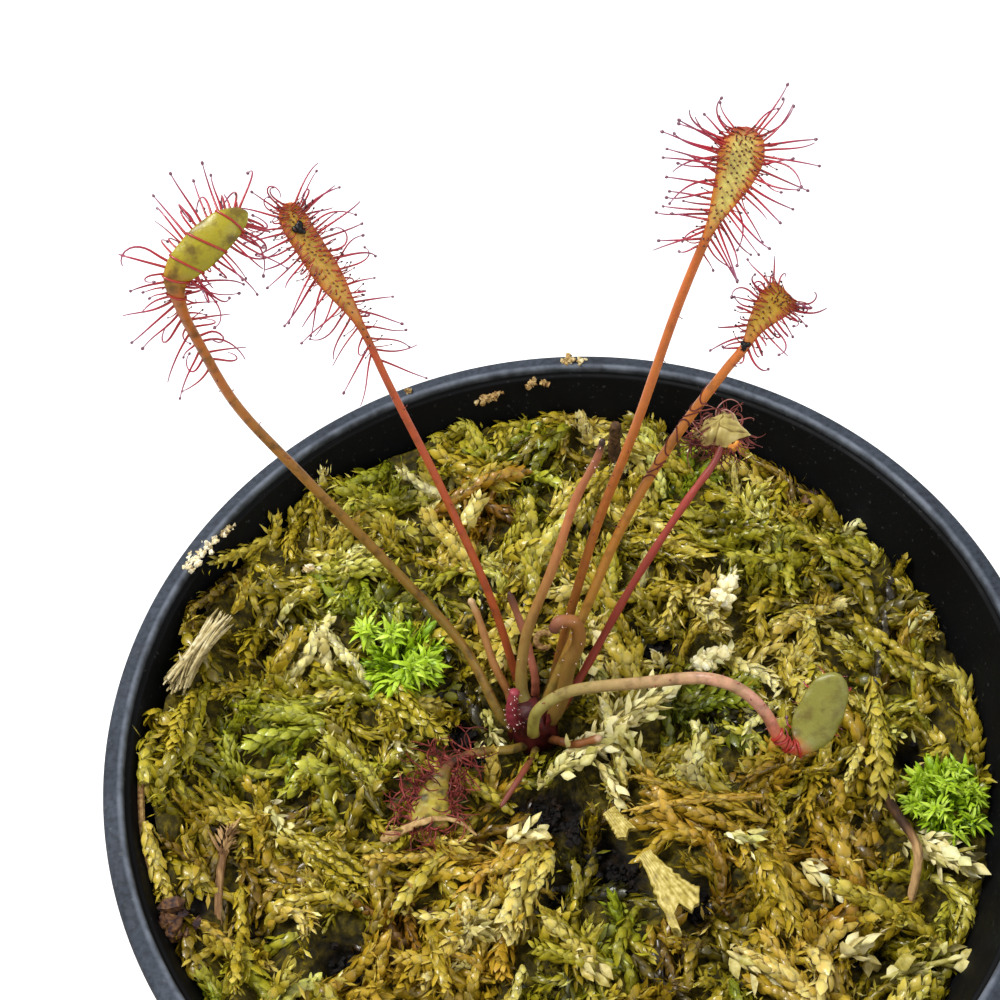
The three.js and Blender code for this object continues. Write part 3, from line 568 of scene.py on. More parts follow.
def ground(x, y):
    """Height of the ground under the strands."""
    out = np.hypot(x, y)
    slope = MOSS["rise"] * y - MOSS["lean"] * x
    swell = np.sin(x * 0.33 + 1.1) * np.cos(y * 0.29 - 0.4) + 0.6 * np.sin((x - y) * 0.51)
    edge = smooth(MOSS["edge"] - MOSS["edge_band"], MOSS["edge"], out) * MOSS["edge_drop"]
    crown = np.hypot(x - CROWN["x"], y - CROWN["y"])
    hollow = (1 - smooth(CROWN["radius"], CROWN["hollow"], crown)) * CROWN["dip"]
    return MOSS["level"] + slope + swell * MOSS["relief"] - edge - hollow


def sunk(x, y):
    """How far the moss sinks in its hollows."""
    return spread(HOLLOWS, x, y) * 2.2


def heap(x, y):
    """How much higher the moss lies along the wall, most of all on the left."""
    out = np.hypot(x, y)
    side = (x * math.cos(HEAP["heading"]) + y * math.sin(HEAP["heading"])) / np.maximum(out, 1)
    return (HEAP["all_round"] + HEAP["height"] * smooth(0, 1, side)) * smooth(*HEAP["band"], out)


def surface(x, y):
    """Height of the moss between its strands."""
    return ground(x, y) + heap(x, y) - sunk(x, y)


def wall_radius(z):
    """Radius of the inside of the pot at a height."""
    low, high = POT["foot"] - POT["wall"], POT["rim"] - POT["lip"] - 0.4
    return low + (high - low) * (z - POT["floor"]) / (POT["height"] - 1.1 - POT["floor"])


def inside(paths, gap=0.8):
    """The paths with whatever comes too near to the wall drawn in."""
    out = np.hypot(paths[..., 0], paths[..., 1])
    pull = np.minimum(1, (wall_radius(paths[..., 2]) - gap) / np.maximum(out, 1))
    return paths * np.stack([pull, pull, np.ones_like(pull)], axis=-1)


def moss_bed():
    """Dark peaty ground that shows between the strands, down to the growing mix."""
    rng = np.random.default_rng(3)
    rings, sides, radius, low_share = 84, 220, 36.3, 0.965
    out = np.linspace(0.05, radius, rings)[:, None]
    angle = circle(sides)[None]
    x, y = out * np.cos(angle), out * np.sin(angle)
    crumb = ripple(x, y, 1.3, 5) * 0.35 + ripple(x, y, 0.6, 6) * 0.2 + rng.uniform(-0.18, 0.18, x.shape)
    # In the hollows the bed turns to near-black humus, darkened further as painted shade.
    deep = np.clip(1.6 * spread(HOLLOWS, x, y), 0, 1)
    top = np.stack([x, y, ground(x, y) + heap(x, y) - 0.6 - 0.9 * sunk(x, y) + crumb], axis=-1)
    low = np.stack([x[-1] * low_share, y[-1] * low_share, np.full(sides, float(MIX_TOP))], axis=-1)
    skin = Skin()
    deep = np.concatenate([deep.ravel(), np.zeros(sides + 2)])
    skin.add(*loft(np.concatenate([top, low[None]])), deep=deep)
    look = Look("peat", specular_ior_level=0.15)
    speck = look.noise(0.7, 6)
    old_moss = look.ramp(speck, (0.3, "#1c1804"), (0.5, "#3c340a"), (0.68, "#625612"), (0.82, "#8a7a24"))
    humus_and_shade = look.ramp(speck, (0.3, "#040302"), (0.5, "#0e0904"), (0.68, "#20160a"), (0.82, "#3e2e14"))
    look.set("Base Color", look.mix(look.number("deep"), old_moss, humus_and_shade))
    look.set("Roughness", look.ramp(speck, (0.3, 0.6), (0.7, 0.9)))
    look.bump(speck, 0.3, 1.0)
    piece("moss_bed", skin, look.made, ["moss_carpet"])


def crumbs():
    """Black and brown crumbs of old peat in the hollows of the moss."""
    rng = np.random.default_rng(9)
    spots = []
    # How many crumbs there are for each millimetre of a place's radius.
    for places, amount in ((HOLLOWS, 5), (BARE, 34)):
        for spot in np.array(places):
            spots.append(np.tile(spot, (int(amount * spot[2]), 1)))
    spots = np.concatenate(spots)
    count = len(spots)
    x, y = (spots[:, :2] + rng.normal(0, 0.42, (count, 2)) * spots[:, 2:]).T
    radii = rng.uniform(0.12, 0.42, count)
    centres = inside(np.stack([x, y, surface(x, y) - 0.2 + rng.uniform(-0.3, 0.6, count)], axis=-1))
    points, faces = balls(centres, unit(rng.normal(0, 1, (count, 3))), radii, 0.8, 4, 6)
    points = points + rng.normal(0, 0.07, points.shape)
    skin = Skin()
    skin.add(points, faces, tone=np.repeat(rng.normal(0, 0.14, count), len(points) // count))
    look = fibre_look("old_peat", (0.2, "#040302"), (0.5, "#0e0805"), (0.75, "#22150c"),
                      (0.95, "#4a3420"), size=0.6, rough=0.85)
    piece("peat_crumbs", skin, look, flat=True)


def shuffled(seed):
    """The part's own generator, so that the tussocks lie where the CAD model has them."""
    state = seed
    wrap = 0xFFFFFFFF

    def draw():
        nonlocal state
        state = (state + 0x6D2B79F5) & wrap
        mixed = ((state ^ (state >> 15)) * (1 | state)) & wrap
        mixed = ((mixed + (((mixed ^ (mixed >> 7)) * (61 | mixed)) & wrap)) & wrap) ^ mixed
        return (mixed ^ (mixed >> 14)) / 4294967296

    return draw


STRAND_STEPS = 9


def bowed(centre, way, length, rise):
    """A strand's centre line through a place, bowed up in its middle."""
    s = np.linspace(0, 1, STRAND_STEPS)[:, None]
    start, end = centre - way * length / 2, centre + way * length / 2
    return (1 - s) ** 2 * start + 2 * s * (1 - s) * (centre + UP * rise) + s ** 2 * end


def tussocks():
    """Centre lines and radii of the CAD model's thick strands."""
    random = shuffled(5)
    lines, sizes = [], []
    for index in range(MOSS["strands"]):
        share = math.sqrt((index + 0.5) / MOSS["strands"])
        out = share * (MOSS["edge"] - 1.8)
        angle = index * GOLDEN_ANGLE
        x = out * math.cos(angle) + (random() - 0.5) * 1.6
        y = out * math.sin(angle) + (random() - 0.5) * 1.6
        heading = angle + math.pi / 2 + (random() - 0.5) * 0.9 if share > 0.88 else random() * TURN
        length = MOSS["length"] * (0.7 + 0.5 * random())
        radius = MOSS["radius"] * (0.8 + 0.45 * random())
        pitch = (random() - 0.35) * 0.5
        if math.hypot(x - CROWN["x"], y - CROWN["y"]) > CROWN["hollow"]:
            centre = np.array([x, y, ground(x, y) + radius * 0.25])
            lines.append(bowed(centre, pointing(heading, pitch), length, radius * 0.5))
            sizes.append(radius)
    return np.array(lines), np.array(sizes)


def carpet_paths(rng, count, layer):
    """Strands strewn over the whole bed, each on a bent path that follows the ground."""
    out, angle = sunflower(count)
    out = out * (MOSS["edge"] + 0.2)
    angle = angle + layer
    x = out * np.cos(angle) + rng.normal(0, 0.9, count)
    y = out * np.sin(angle) + rng.normal(0, 0.9, count)
    heading = ripple(x, y, 9, 21) * 3.5 + rng.normal(0, 0.8, count) + rng.integers(0, 2, count) * math.pi
    heading = np.where(out > MOSS["edge"] - 2.5, angle + math.pi / 2 + rng.normal(0, 0.6, count), heading)
    length = rng.uniform(4.5, 10, count)
    bend = rng.normal(0, 0.8, count)
    s = np.linspace(-1, 1, STRAND_STEPS)[None]
    way = heading[:, None] + bend[:, None] * s
    step = length[:, None] / (STRAND_STEPS - 1)
    dx, dy = np.cos(way) * step, np.sin(way) * step
    px = x[:, None] + np.cumsum(dx, axis=1) - dx.sum(axis=1, keepdims=True) / 2
    py = y[:, None] + np.cumsum(dy, axis=1) - dy.sum(axis=1, keepdims=True) / 2
    px = px + 0.45 * ripple(px, py, 2.2, 22)
    py = py + 0.45 * ripple(px, py, 2.2, 23)
    rise = rng.uniform(-0.9, 1.7, count)[:, None] * s + rng.uniform(0.1, 1.0, count)[:, None] * (1 - s * s)
    return inside(np.stack([px, py, surface(px, py) + layer + rise - 0.4], axis=-1))


def bundle_paths(rng):
    """Strands lying loosely together in the CAD model's tussocks."""
    lines, sizes = tussocks()
    _, across, _ = frames(lines)
    count = len(lines)
    middle = lines[:, STRAND_STEPS // 2, None]
    made = []
    for angle in (0.4, 1.5, 2.6):
        wobble = angle + rng.normal(0, 0.25, (count, 1)) + np.linspace(-0.6, 0.6, STRAND_STEPS)[None]
        reach = sizes[:, None] * rng.uniform(0.35, 0.7, (count, 1)) * np.linspace(0.6, 1, STRAND_STEPS)[None]
        offset = np.cos(wobble)[..., None] * across + np.sin(wobble)[..., None] * UP
        stray = rng.normal(0, 0.3, count)[:, None]
        path = middle + turned(lines - middle, UP, stray) * rng.uniform(0.6, 1.0, (count, 1, 1))
        path = path + offset * reach[..., None]
        path[..., 2] += heap(path[..., 0], path[..., 1]) - sunk(path[..., 0], path[..., 1]) * 0.8 - 0.45
        made.append(path)
    return inside(np.concatenate(made))


def shoot_paths(rng, count):
    """Short shoots that stand up out of the bed, leaning their own ways."""
    out, angle = sunflower(count)
    out = out * (MOSS["edge"] - 1)
    angle = angle + 2.0
    x = out * np.cos(angle) + rng.normal(0, 1.2, count)
    y = out * np.sin(angle) + rng.normal(0, 1.2, count)
    heading = rng.uniform(0, TURN, count)
    pitch = rng.uniform(0.2, 0.95, count)[:, None] + np.linspace(-0.4, 0.4, STRAND_STEPS)[None]
    step = (rng.uniform(2.4, 4.6, count) / (STRAND_STEPS - 1))[:, None]
    away = np.cumsum(np.cos(pitch) * step, axis=1)
    high = np.cumsum(np.sin(pitch) * step, axis=1)
    px, py = x[:, None] + np.cos(heading)[:, None] * away, y[:, None] + np.sin(heading)[:, None] * away
    base = surface(x, y) - 0.9
    return inside(np.stack([px, py, base[:, None] + high], axis=-1))


# Where the peat lies bare: x, y, radius.
BARE = [(-9.9, 3.0, 1.5), (-8.4, 0.6, 1.3), (-3.2, -5.0, 1.5), (-0.8, -6.6, 1.5), (2.4, -11.0, 1.3),
        (8.6, -14.4, 1.1), (-21.4, -16.4, 1.0), (8.8, 10.2, 1.0)]


def clear_of(paths, spots):
    """The paths that stay out of round spots of x, y and radius."""
    keep = np.ones(len(paths), bool)
    for x, y, radius in spots:
        keep &= (np.hypot(paths[..., 0] - x, paths[..., 1] - y) > radius).all(axis=1)
    return paths[keep]


def moss_tones(rng, x, y, shift=0.0):
    """Tone and shares of green and amber for strands at places on the bed."""
    stray = rng.normal(0, [[0.11], [0.12], [0.12]], (3, len(x)))
    tone = 0.57 + 0.20 * ripple(x, y, 7, 31) + 0.14 * ripple(x, y, 3, 32) + shift + stray[0]
    # Strands in the pale spots are lighter; strands in the hollows are darker as painted shade.
    tone = tone + 0.3 * spread(PALES, x, y) - 0.3 * spread(HOLLOWS, x, y)
    green = np.clip(0.95 * spread(GREENS, x, y) + 0.35 * ripple(x, y, 9, 33) + 0.1 + stray[1], 0, 1)
    warmer = 0.26 * smooth(8, -16, y) - 0.06
    amber = np.clip(0.8 * spread(AMBERS, x, y) + 0.28 * ripple(x, y, 8, 34) + warmer + stray[2], 0, 0.9)
    return {"tone": tone, "green": green, "amber": amber}


def dead_and_shaded_tone(above):
    """Leaves low in the bed are darker, partly because they are dead and partly as painted shade deep in the
    bed; those on top are pale.
    """
    return np.interp(above, [-2.5, -0.6, 0.6, 2.2], [-0.4, -0.12, 0.0, 0.1])


def dress(skin, rng, paths, leaves, shift=0.0, tones=None, size=(0.7, 1.15), fine=0.0, outline=PLUMP):
    """Covers strands with overlapping leaves and adds them, with a thick core, to the skin.
    fine is the share of strands whose leaves are narrow."""
    count = len(paths)
    tangent, _, _ = frames(paths)
    middle = paths[:, STRAND_STEPS // 2]
    tones = tones or moss_tones(rng, middle[:, 0], middle[:, 1], shift)
    scale = rng.uniform(*size, count)[:, None]
    narrow = rng.uniform(0, 1, (count, 1)) < fine
    place = (np.arange(leaves)[None] + rng.uniform(0, 1, (count, leaves))) / leaves
    centre = between(paths, place)
    along = unit(between(tangent, place))
    # Leaves go round the upper side of the strand in golden-section steps.
    turn = (np.arange(leaves) * GOLDEN_SHARE)[None] + rng.uniform(0, 1, (count, 1))
    turn = turn + rng.normal(0, 0.05, place.shape)
    turn = (turn % 1 - 0.5) * math.radians(270)
    helper = np.where(np.abs(along[..., 2:]) > 0.9, np.array([1.0, 0, 0]), UP)
    side = unit(np.cross(along, helper))
    upward = np.cross(side, along)
    radial = np.sin(turn)[..., None] * side + np.cos(turn)[..., None] * upward
    head = smooth(0.75, 1.0, place)
    lean = rng.uniform(0.08, 0.34, (count, 1)) + 0.1 * narrow + 0.4 * head + rng.normal(0, 0.12, place.shape)
    lean = lean[..., None]
    way = unit(along * np.cos(lean) + radial * np.sin(lean) + rng.normal(0, 0.11, along.shape))
    bulge = radial * np.cos(lean) - along * np.sin(lean) + rng.normal(0, 0.14, along.shape)
    bulge = unit(bulge - way * dot(bulge, way))
    long = scale * rng.uniform(0.95, 1.75, place.shape) * (1 - 0.35 * head)
    wide = long * rng.uniform(0.46, 0.7, place.shape) * np.where(narrow, 0.62, 1)
    curl = rng.normal(0.05, 0.1, place.shape)
    girth = np.interp(place, [0, 0.15, 0.8, 1], [0.6, 1, 0.85, 0.25])[..., None] * 0.45 * scale[..., None]
    points, faces, share, rim = leaflets((centre + radial * girth).reshape(-1, 3), way.reshape(-1, 3),
                                         bulge.reshape(-1, 3), long.ravel(), wide.ravel(), 0.5,
                                         curl.ravel(), 0.14, outline)
    per_leaf = len(share) // (count * leaves)
    x, y, z = centre[..., 0], centre[..., 1], centre[..., 2]
    numbers = each(tones, leaves)
    # Leaves deep in the bed are darkened: dead leaves, and painted shade.
    dead_and_shade = dead_and_shaded_tone(z - ground(x, y) - heap(x, y)).ravel()
    numbers["tone"] = numbers["tone"] + rng.normal(0, 0.035, count * leaves) + dead_and_shade
    skin.add(points, faces, leaf=share, rim=rim, **each(numbers, per_leaf))
    run = np.linspace(0, 1, STRAND_STEPS)
    radii = np.interp(run, [0, 0.15, 0.8, 1], [0.3, 0.52, 0.42, 0.12])[None] * scale
    sides = 5
    points, faces = tubes(paths, radii, sides)
    # The core is darkened like the leaf roots, as painted shade.
    skin.add(points, faces, leaf=0.3, rim=0, **each(tones, STRAND_STEPS * sides))


def moss_fuzz(rng, paths, count):
    """Narrow leaves that have come loose or stick out between the plump ones."""
    skin = Skin()
    rod = rng.integers(0, len(paths), count)
    place = rng.uniform(0, STRAND_STEPS - 1.001, count)
    low = place.astype(int)
    share = (place - low)[:, None]
    at = paths[rod, low] * (1 - share) + paths[rod, low + 1] * share
    at = inside(at + rng.normal(0, 0.55, (count, 3)) * [1, 1, 0.5] + UP * 0.4)
    way = unit(unit(paths[rod, low + 1] - paths[rod, low]) + rng.normal(0, 0.9, (count, 3)) + UP * 0.45)
    outward = unit(np.cross(way, rng.normal(0, 1, (count, 3))))
    long = rng.uniform(0.5, 1.5, count)
    points, faces, share, rim = leaflets(at, way, outward, long, long * rng.uniform(0.14, 0.32, count),
                                         0.4, rng.normal(0.1, 0.2, count), 0.06, NEEDLE)
    tones = moss_tones(rng, at[:, 0], at[:, 1], 0.08)
    skin.add(points, faces, leaf=0.5 + share / 2, rim=rim, **each(tones, len(share) // count))
    return skin


# Room left for what lies on the moss or stands in it: x, y, radius.
FEET = [(CROWN["x"], CROWN["y"], 2.7), (-9.5, -0.6, 0.8), (-5.4, -2.8, 0.8), (1.0, -0.4, 0.8)]
RESTS = [(2.4, -6.6, 1.0), (3.6, -8.9, 1.2), (5.0, -11.6, 1.3), (6.6, -14.8, 1.6), (2.2, 0.2, 1.2),
         (5.0, 1.8, 1.2), (7.4, 3.3, 1.0), (16.4, 13.9, 1.4), (13.7, 7.2, 1.3), (28.2, -11.9, 1.2),
         (30.3, -13.9, 1.2), (-34.0, 9.6, 1.0), (-31.4, 12.7, 1.1), (-12.4, -4.2, 2.2), (32.6, -8.6, 2.0),
         (28.4, -9.6, 1.2), (-13.0, 9.2, 1.8), (-17.6, 12.8, 1.8), (-31.0, -7.5, 0.8), (-31.1, -12.5, 0.8),
         (26.7, -9.4, 0.8), (27.1, -13.2, 0.8), (26.3, -16.2, 0.7)]


FUZZ_LEAVES = 9000


def moss_strands():
    """The carpet of sphagnum strands in five layers, with loose leaves over them."""
    rng = np.random.default_rng(7)
    look = moss_look("wet_moss")
    # name, paths, leaves a strand, spots kept clear, tone, share of narrow-leaved strands, leaf outline
    layers = [
        # The low layer's tone is a little darker: partly dead leaves, partly painted shade deep in the bed.
        ("moss_low", carpet_paths(rng, 400, -0.9), 36, FEET, -0.04, 0.3, STUBBY),
        ("moss_middle", carpet_paths(rng, 330, -0.2), 46, FEET + RESTS, 0.0, 0.3, PLUMP),
        ("moss_bundles", bundle_paths(rng), 52, FEET + RESTS, 0.02, 0.15, PLUMP),
        ("moss_loose", carpet_paths(rng, 120, 0.5), 44, FEET + RESTS, 0.02, 0.25, PLUMP),
        ("moss_shoots", shoot_paths(rng, 280), 24, FEET + RESTS, 0.02, 0.5, STUBBY),
    ]
    tops = []
    for name, paths, leaves, spots, shift, fine, outline in layers:
        skin = Skin()
        paths = clear_of(paths, spots + BARE)
        dress(skin, rng, paths, leaves, shift, fine=fine, outline=outline)
        piece(name, skin, look)
        if name != "moss_low":
            tops.append(paths)
    piece("moss_fuzz", moss_fuzz(rng, np.concatenate(tops), FUZZ_LEAVES), look)


# ---- leaves ----

# Each leaf repeats its CAD route. Colours run from the stalk's foot to the blade. bands are shares of the
# route where a tentacle lies wrapped round the back, each with how far it runs askew.
LEAVES = {
    "leaf_far_left": {
        "route": [
            (-5.1, 2.9, 61.3), (-6.1, 3.6, 63), (-8.5, 8, 68), (-14.5, 12, 78.5), (-19.3, 13.7, 88.6),
            (-22.7, 14.8, 96.5), (-23.9, 15.5, 102.1), (-24.4, 15.8, 106.7), (-24.1, 16.3, 108.8),
            (-22.2, 17.1, 110.2), (-20.1, 18.3, 111.1), (-18.8, 19.4, 111),
        ],
        "stalk": (0.46, 0.38), "blade_from": 0.535, "width": 2.9, "widen": (0.12, 0.7), "tip_from": 0.5,
        "face": (-0.3, 0.55, -0.75), "reach": 4.3, "turns": (0.3, 0.5),
        "stain": 0.75, "strokes": (0.4, 0.8),
        "colours": [(0, "#6d3a20"), (0.06, "#7a6a2c"), (0.3, "#8a6a28"), (0.5, "#a66024"), (0.72, "#a6541c")],
        "centre": "#b9a03a", "margin": "#a8601f", "back": "#948812", "tip": "#806a18",
        "long": 66, "glands": 40, "lift": 0.1, "beads": 0.72, "curls": (0.3, 0.26, 0.24, 0.2), "seed": 11,
        "bands": [(0.925, 0.016), (0.845, 0.018), (0.775, 0.014), (0.722, 0.002), (0.662, -0.012)],
        "band": 0.085,
    },
    "leaf_left": {
        "route": [
            (-3.8, 5.3, 61.2), (-4.2, 6.6, 63.2), (-5.5, 10, 71.5), (-8.5, 15, 82.5), (-11.5, 19, 92),
            (-13, 21.1, 97.1), (-14.5, 22.7, 100.3), (-15.8, 24.4, 102.5), (-16.8, 26, 104.2),
            (-17, 26.9, 105),
        ],
        "stalk": (0.4, 0.31), "blade_from": 0.5, "width": 2.25, "widen": (0.05, 0.42), "tip_from": 0.7,
        "face": (0.2, -0.6, 0.75), "reach": 4.0, "turns": (0.02, 0.3),
        "stain": 0.35, "strokes": (0.05, 0.5),
        "colours": [(0, "#6d2b20"), (0.08, "#964a2c"), (0.3, "#a8482c"), (0.55, "#b64822"),
                    (0.74, "#b64e1a")],
        "centre": "#bc942c", "margin": "#b0600e", "back": "#b4842a", "tip": "#b0600f",
        "long": 52, "glands": 120, "lift": 0.0, "beads": 0.72, "curls": (0.4, 0.38, 0.14, 0.08), "seed": 12,
        "bands": [], "prey": (0.845, 0.34),
    },
    "leaf_tall": {
        "route": [
            (-2.2, 5, 60.8), (-1, 6.6, 63), (1, 8.8, 69.8), (4, 11.5, 79.5), (7.5, 13.5, 89.5),
            (11.1, 16.5, 99.5), (13.2, 17.7, 105), (14.3, 18.4, 107.3), (15.5, 19.6, 109.2),
            (16.1, 20.7, 110.5), (16.3, 21.9, 111.1),
        ],
        "stalk": (0.44, 0.35), "blade_from": 0.59, "width": 3.3, "widen": (0.0, 0.66), "tip_from": 0.6,
        "face": (-0.1, -0.6, 0.75), "reach": 4.2, "turns": (0.02, 0.3),
        "stain": 0.2, "strokes": (0.4, 0.8),
        "colours": [(0, "#5d3a1e"), (0.1, "#6e5828"), (0.25, "#925a28"), (0.55, "#b65c22"),
                    (0.76, "#b85e1a")],
        "centre": "#c4b660", "margin": "#b87016", "back": "#b4842a", "tip": "#94341a",
        "long": 54, "glands": 110, "lift": 0.0, "beads": 0.8, "curls": (0.46, 0.42, 0.1, 0.02), "seed": 13,
        "bands": [],
    },
    "leaf_right": {
        "route": [
            (-2.2, 4.2, 62.4), (-1.3, 5, 64.2), (1.8, 7.6, 70.5), (6, 11, 79.5), (10.5, 13, 88),
            (14.6, 14.1, 94.6), (16.1, 14.8, 96.2), (17, 15.6, 97.4), (18.1, 16.4, 98.2), (19, 17.1, 98.4),
            (19.7, 17.6, 98.4),
        ],
        "stalk": (0.46, 0.36), "blade_from": 0.58, "width": 2.8, "widen": (0.0, 0.7), "tip_from": 0.93,
        "face": (-0.25, -0.5, 0.8), "reach": 3.0, "turns": (0.02, 0.3),
        "stain": 0.45, "strokes": (0.15, 0.65),
        "colours": [(0, "#5d3a20"), (0.08, "#857838"), (0.3, "#a26c2a"), (0.55, "#ba6228"), (0.8, "#ba5820")],
        "centre": "#b8922a", "margin": "#aa6414", "back": "#b5862f", "tip": "#a26418",
        "long": 34, "glands": 66, "lift": 0.0, "beads": 0.45, "curls": (0.1, 0.22, 0.36, 0.32), "seed": 14,
        "bands": [], "prey": (0.6, 0.26),
    },
    "leaf_drooping": {
        "route": [
            (-3.2, 1.9, 62), (-3.4, 0.8, 64.5), (-2.8, 1.2, 67.5), (-0.5, 1.6, 69.4), (6, -1, 74.5),
            (11, -3, 77.5), (13.4, -4.1, 76.9), (15.1, -5.3, 75), (16.2, -6.5, 72.7), (17.5, -6.9, 71.4),
            (18.7, -6, 71.6), (19.9, -4.7, 72.8), (20.9, -3.4, 74.1), (21.6, -2.6, 75),
        ],
        "stalk": (0.53, 0.48), "blade_from": 0.62, "width": 3.7, "widen": (0.1, 0.5), "tip_from": 0.55,
        "face": (0.1, 0.6, -0.75), "reach": 1.5, "turns": (0.14, 0.34),
        "stain": 0.5, "strokes": (0.4, 0.8),
        "colours": [(0, "#7c4a2c"), (0.1, "#8a8238"), (0.22, "#96864a"), (0.38, "#bc8c70"), (0.52, "#c68a76"),
                    (0.6, "#cc5c4c"), (0.68, "#c0342a")],
        "centre": "#86812e", "margin": "#5e5a1e", "back": "#77742a", "tip": "#8c8a44",
        "long": 6, "glands": 16, "lift": 1.5, "beads": 0.3, "curls": (0.2, 0.4, 0.3, 0.1), "seed": 15,
        "bands": [(0.6, 0.006), (0.622, -0.006), (0.645, 0.008), (0.662, -0.004), (0.69, 0.01)], "band": 0.13,
    },
}
BLADE_DEPTH = 0.42


def blade_half(leaf, share):
    """Half width of a blade at shares of its length."""
    half = leaf["stalk"][1] + (leaf["width"] / 2 - leaf["stalk"][1]) * smooth(*leaf["widen"], share)
    tip = np.clip((share - leaf["tip_from"]) / (1 - leaf["tip_from"]), 0, 0.985)
    return half * np.sqrt(1 - tip * tip)


def leaf_frame(leaf, t):
    """Centre, along, across, upward vectors, blade share and half width at shares t of a leaf's route."""
    centre = catmull_rom(leaf["route"], t)
    step = 1e-3
    along = unit(catmull_rom(leaf["route"], np.minimum(t + step, 1)) - catmull_rom(leaf["route"], t - step))
    across = unit(np.cross(along, unit(np.array(leaf["face"], float))))
    upward = np.cross(across, along)
    share = (t - leaf["blade_from"]) / (1 - leaf["blade_from"])
    foot, neck = leaf["stalk"]
    stalk = foot + (neck - foot) * t / leaf["blade_from"]
    half = np.where(share <= 0, stalk, blade_half(leaf, np.maximum(share, 0)))
    return centre, along, across, upward, share, half


def leaf_body(name, leaf):
    """The stalk and the blade in one skin: the blade is dished on its sticky face and has a round back."""
    steps, sides = 150, 28
    t = np.linspace(0, 1, steps)
    centre, _, across, upward, share, half = leaf_frame(leaf, t)
    angle = circle(sides)
    blade = smooth(0.0, 0.35, share)[:, None]
    depth = np.minimum(half, BLADE_DEPTH)[:, None]
    x = -np.cos(angle)[None] * half[:, None]
    y = np.sin(angle)[None] * depth
    rim = np.abs(np.cos(angle))[None]
    dish = np.where(np.sin(angle)[None] > 0, (1 - rim ** 2) * depth * 0.75, 0) * blade
    keel = np.where(np.sin(angle)[None] < 0, (1 - rim) * depth * 0.25, 0) * blade
    wave = 0.07 * np.sin(t * 90 + leaf["seed"])[:, None] * rim ** 4 * blade
    rings = (centre[:, None] + across[:, None] * x[..., None]
             + upward[:, None] * (y - dish - keel + wave)[..., None])
    edge = np.concatenate([np.tile(rim[0], steps), [1, 1]])
    upper = np.concatenate([np.tile(np.sin(angle) * 0.5 + 0.5, steps), [0.5, 0.5]])
    skin = Skin()
    skin.add(*loft(rings), along=on_rings(t, sides, [0, 1]),
             blade=on_rings(np.clip(share, 0, 1), sides, [0, 1]), edge=edge, upper=upper)
    shades = [leaf[key] for key in ("colours", "centre", "margin", "back", "tip", "turns", "stain")]
    look = leaf_look(name + "_skin", *shades)
    piece(name + "_body", skin, look, [name])


def hairs(skin, roots, leave, axes, length, curl, bend_from, thick, bead, steps):
    """Tentacles: each leaves its root one way, sways, curls round its axis and may end in a bead."""
    count = len(roots)
    s = np.linspace(0, 1, steps)
    phase = np.arange(count) * SPIRAL_STEP
    way = np.empty((count, steps, 3))
    for step, share in enumerate(s):
        sway = 0.22 * (np.sin(share * 4 + phase) - np.sin(phase))
        angle = curl * np.maximum(0, (share - bend_from) / (1 - bend_from)) ** 1.3 + sway
        way[:, step] = turned(leave, axes, angle)
    hop = (length / (steps - 1))[:, None, None]
    paths = roots[:, None] + np.cumsum(way * hop, axis=1) - way[:, :1] * hop
    paths[:, 0] = roots - leave * 0.12
    taper = np.interp(s, [0, 0.15, 0.5, 0.92, 1], [1.2, 1.05, 0.82, 0.56, 0.5])
    sides, neck = 6, 0.85
    points, faces = tubes(paths, thick[:, None] * taper[None], sides)
    skin.add(points, faces, place=np.tile(np.repeat(s * neck, sides), count))
    beaded = bead > 0
    if beaded.any():
        ends, axis = paths[beaded, -1], unit(way[beaded, -1])
        points, faces = balls(ends + axis * bead[beaded, None] * 0.5, axis, bead[beaded], 1.2)
        skin.add(points, faces, place=1.0)


def blade_places(leaf, t, sideways, inset):
    """Roots at a share of the half width to either side, on the sticky face, and the frame there."""
    centre, along, across, upward, _, half = leaf_frame(leaf, t)
    lift = np.minimum(half, BLADE_DEPTH) * np.sqrt(np.maximum(0, 1 - sideways ** 2)) * inset
    root = centre + across * (sideways * half * 0.96)[:, None] + upward * lift[:, None]
    return root, along, across, upward


CURLS = np.array([0.25, 0.8, 2.0, 4.2])  # how far a tentacle turns: straight, bent, hooked, looped
LENGTHS = [1.0, 0.85, 0.6, 0.35]  # shares of a leaf's reach
LENGTH_SHARES = [0.4, 0.27, 0.2, 0.13]  # how many of its tentacles have each


def scattered(rng, leaf, count):
    """Shares along and to the side of spots strewn over a blade that keep their distance."""
    line = catmull_rom(leaf["route"], np.linspace(leaf["blade_from"], 1, 60))
    length = np.linalg.norm(np.diff(line, axis=0), axis=1).sum()
    area = 2 * length * blade_half(leaf, np.linspace(0, 1, 60)).mean()
    gap = 0.68 * math.sqrt(area / count)
    kept = np.empty((0, 2))
    flat = np.empty((0, 2))
    for spot in rng.uniform([0.0, -0.95], [0.98, 0.95], (4000, 2)):
        at = np.array([spot[0] * length, spot[1] * blade_half(leaf, spot[0])])
        if len(kept) < count and not (np.linalg.norm(flat - at, axis=1) < gap).any():
            kept = np.vstack([kept, spot])
            flat = np.vstack([flat, at])
    return kept[:, 0], kept[:, 1]


def blade_bands(skin, leaf):
    """Tentacles that lie wrapped round the back of a blade or its neck."""
    turn = np.linspace(-0.12, math.pi + 0.12, 15)
    for t, askew in leaf["bands"]:
        share = t + askew * np.cos(turn)
        centre, _, across, upward, blade, half = leaf_frame(leaf, share)
        depth = np.minimum(half, BLADE_DEPTH)
        keel = (1 - np.abs(np.cos(turn))) * depth * 0.25 * smooth(0.0, 0.35, blade)
        out = leaf["band"] * 0.5
        x, y = -np.cos(turn) * (half + out), -np.sin(turn) * (depth + out) - keel
        path = centre + across * x[:, None] + upward * y[:, None]
        points, faces = tubes(path[None], np.full((1, len(turn)), leaf["band"]), 8)
        skin.add(points, faces, place=0.0)


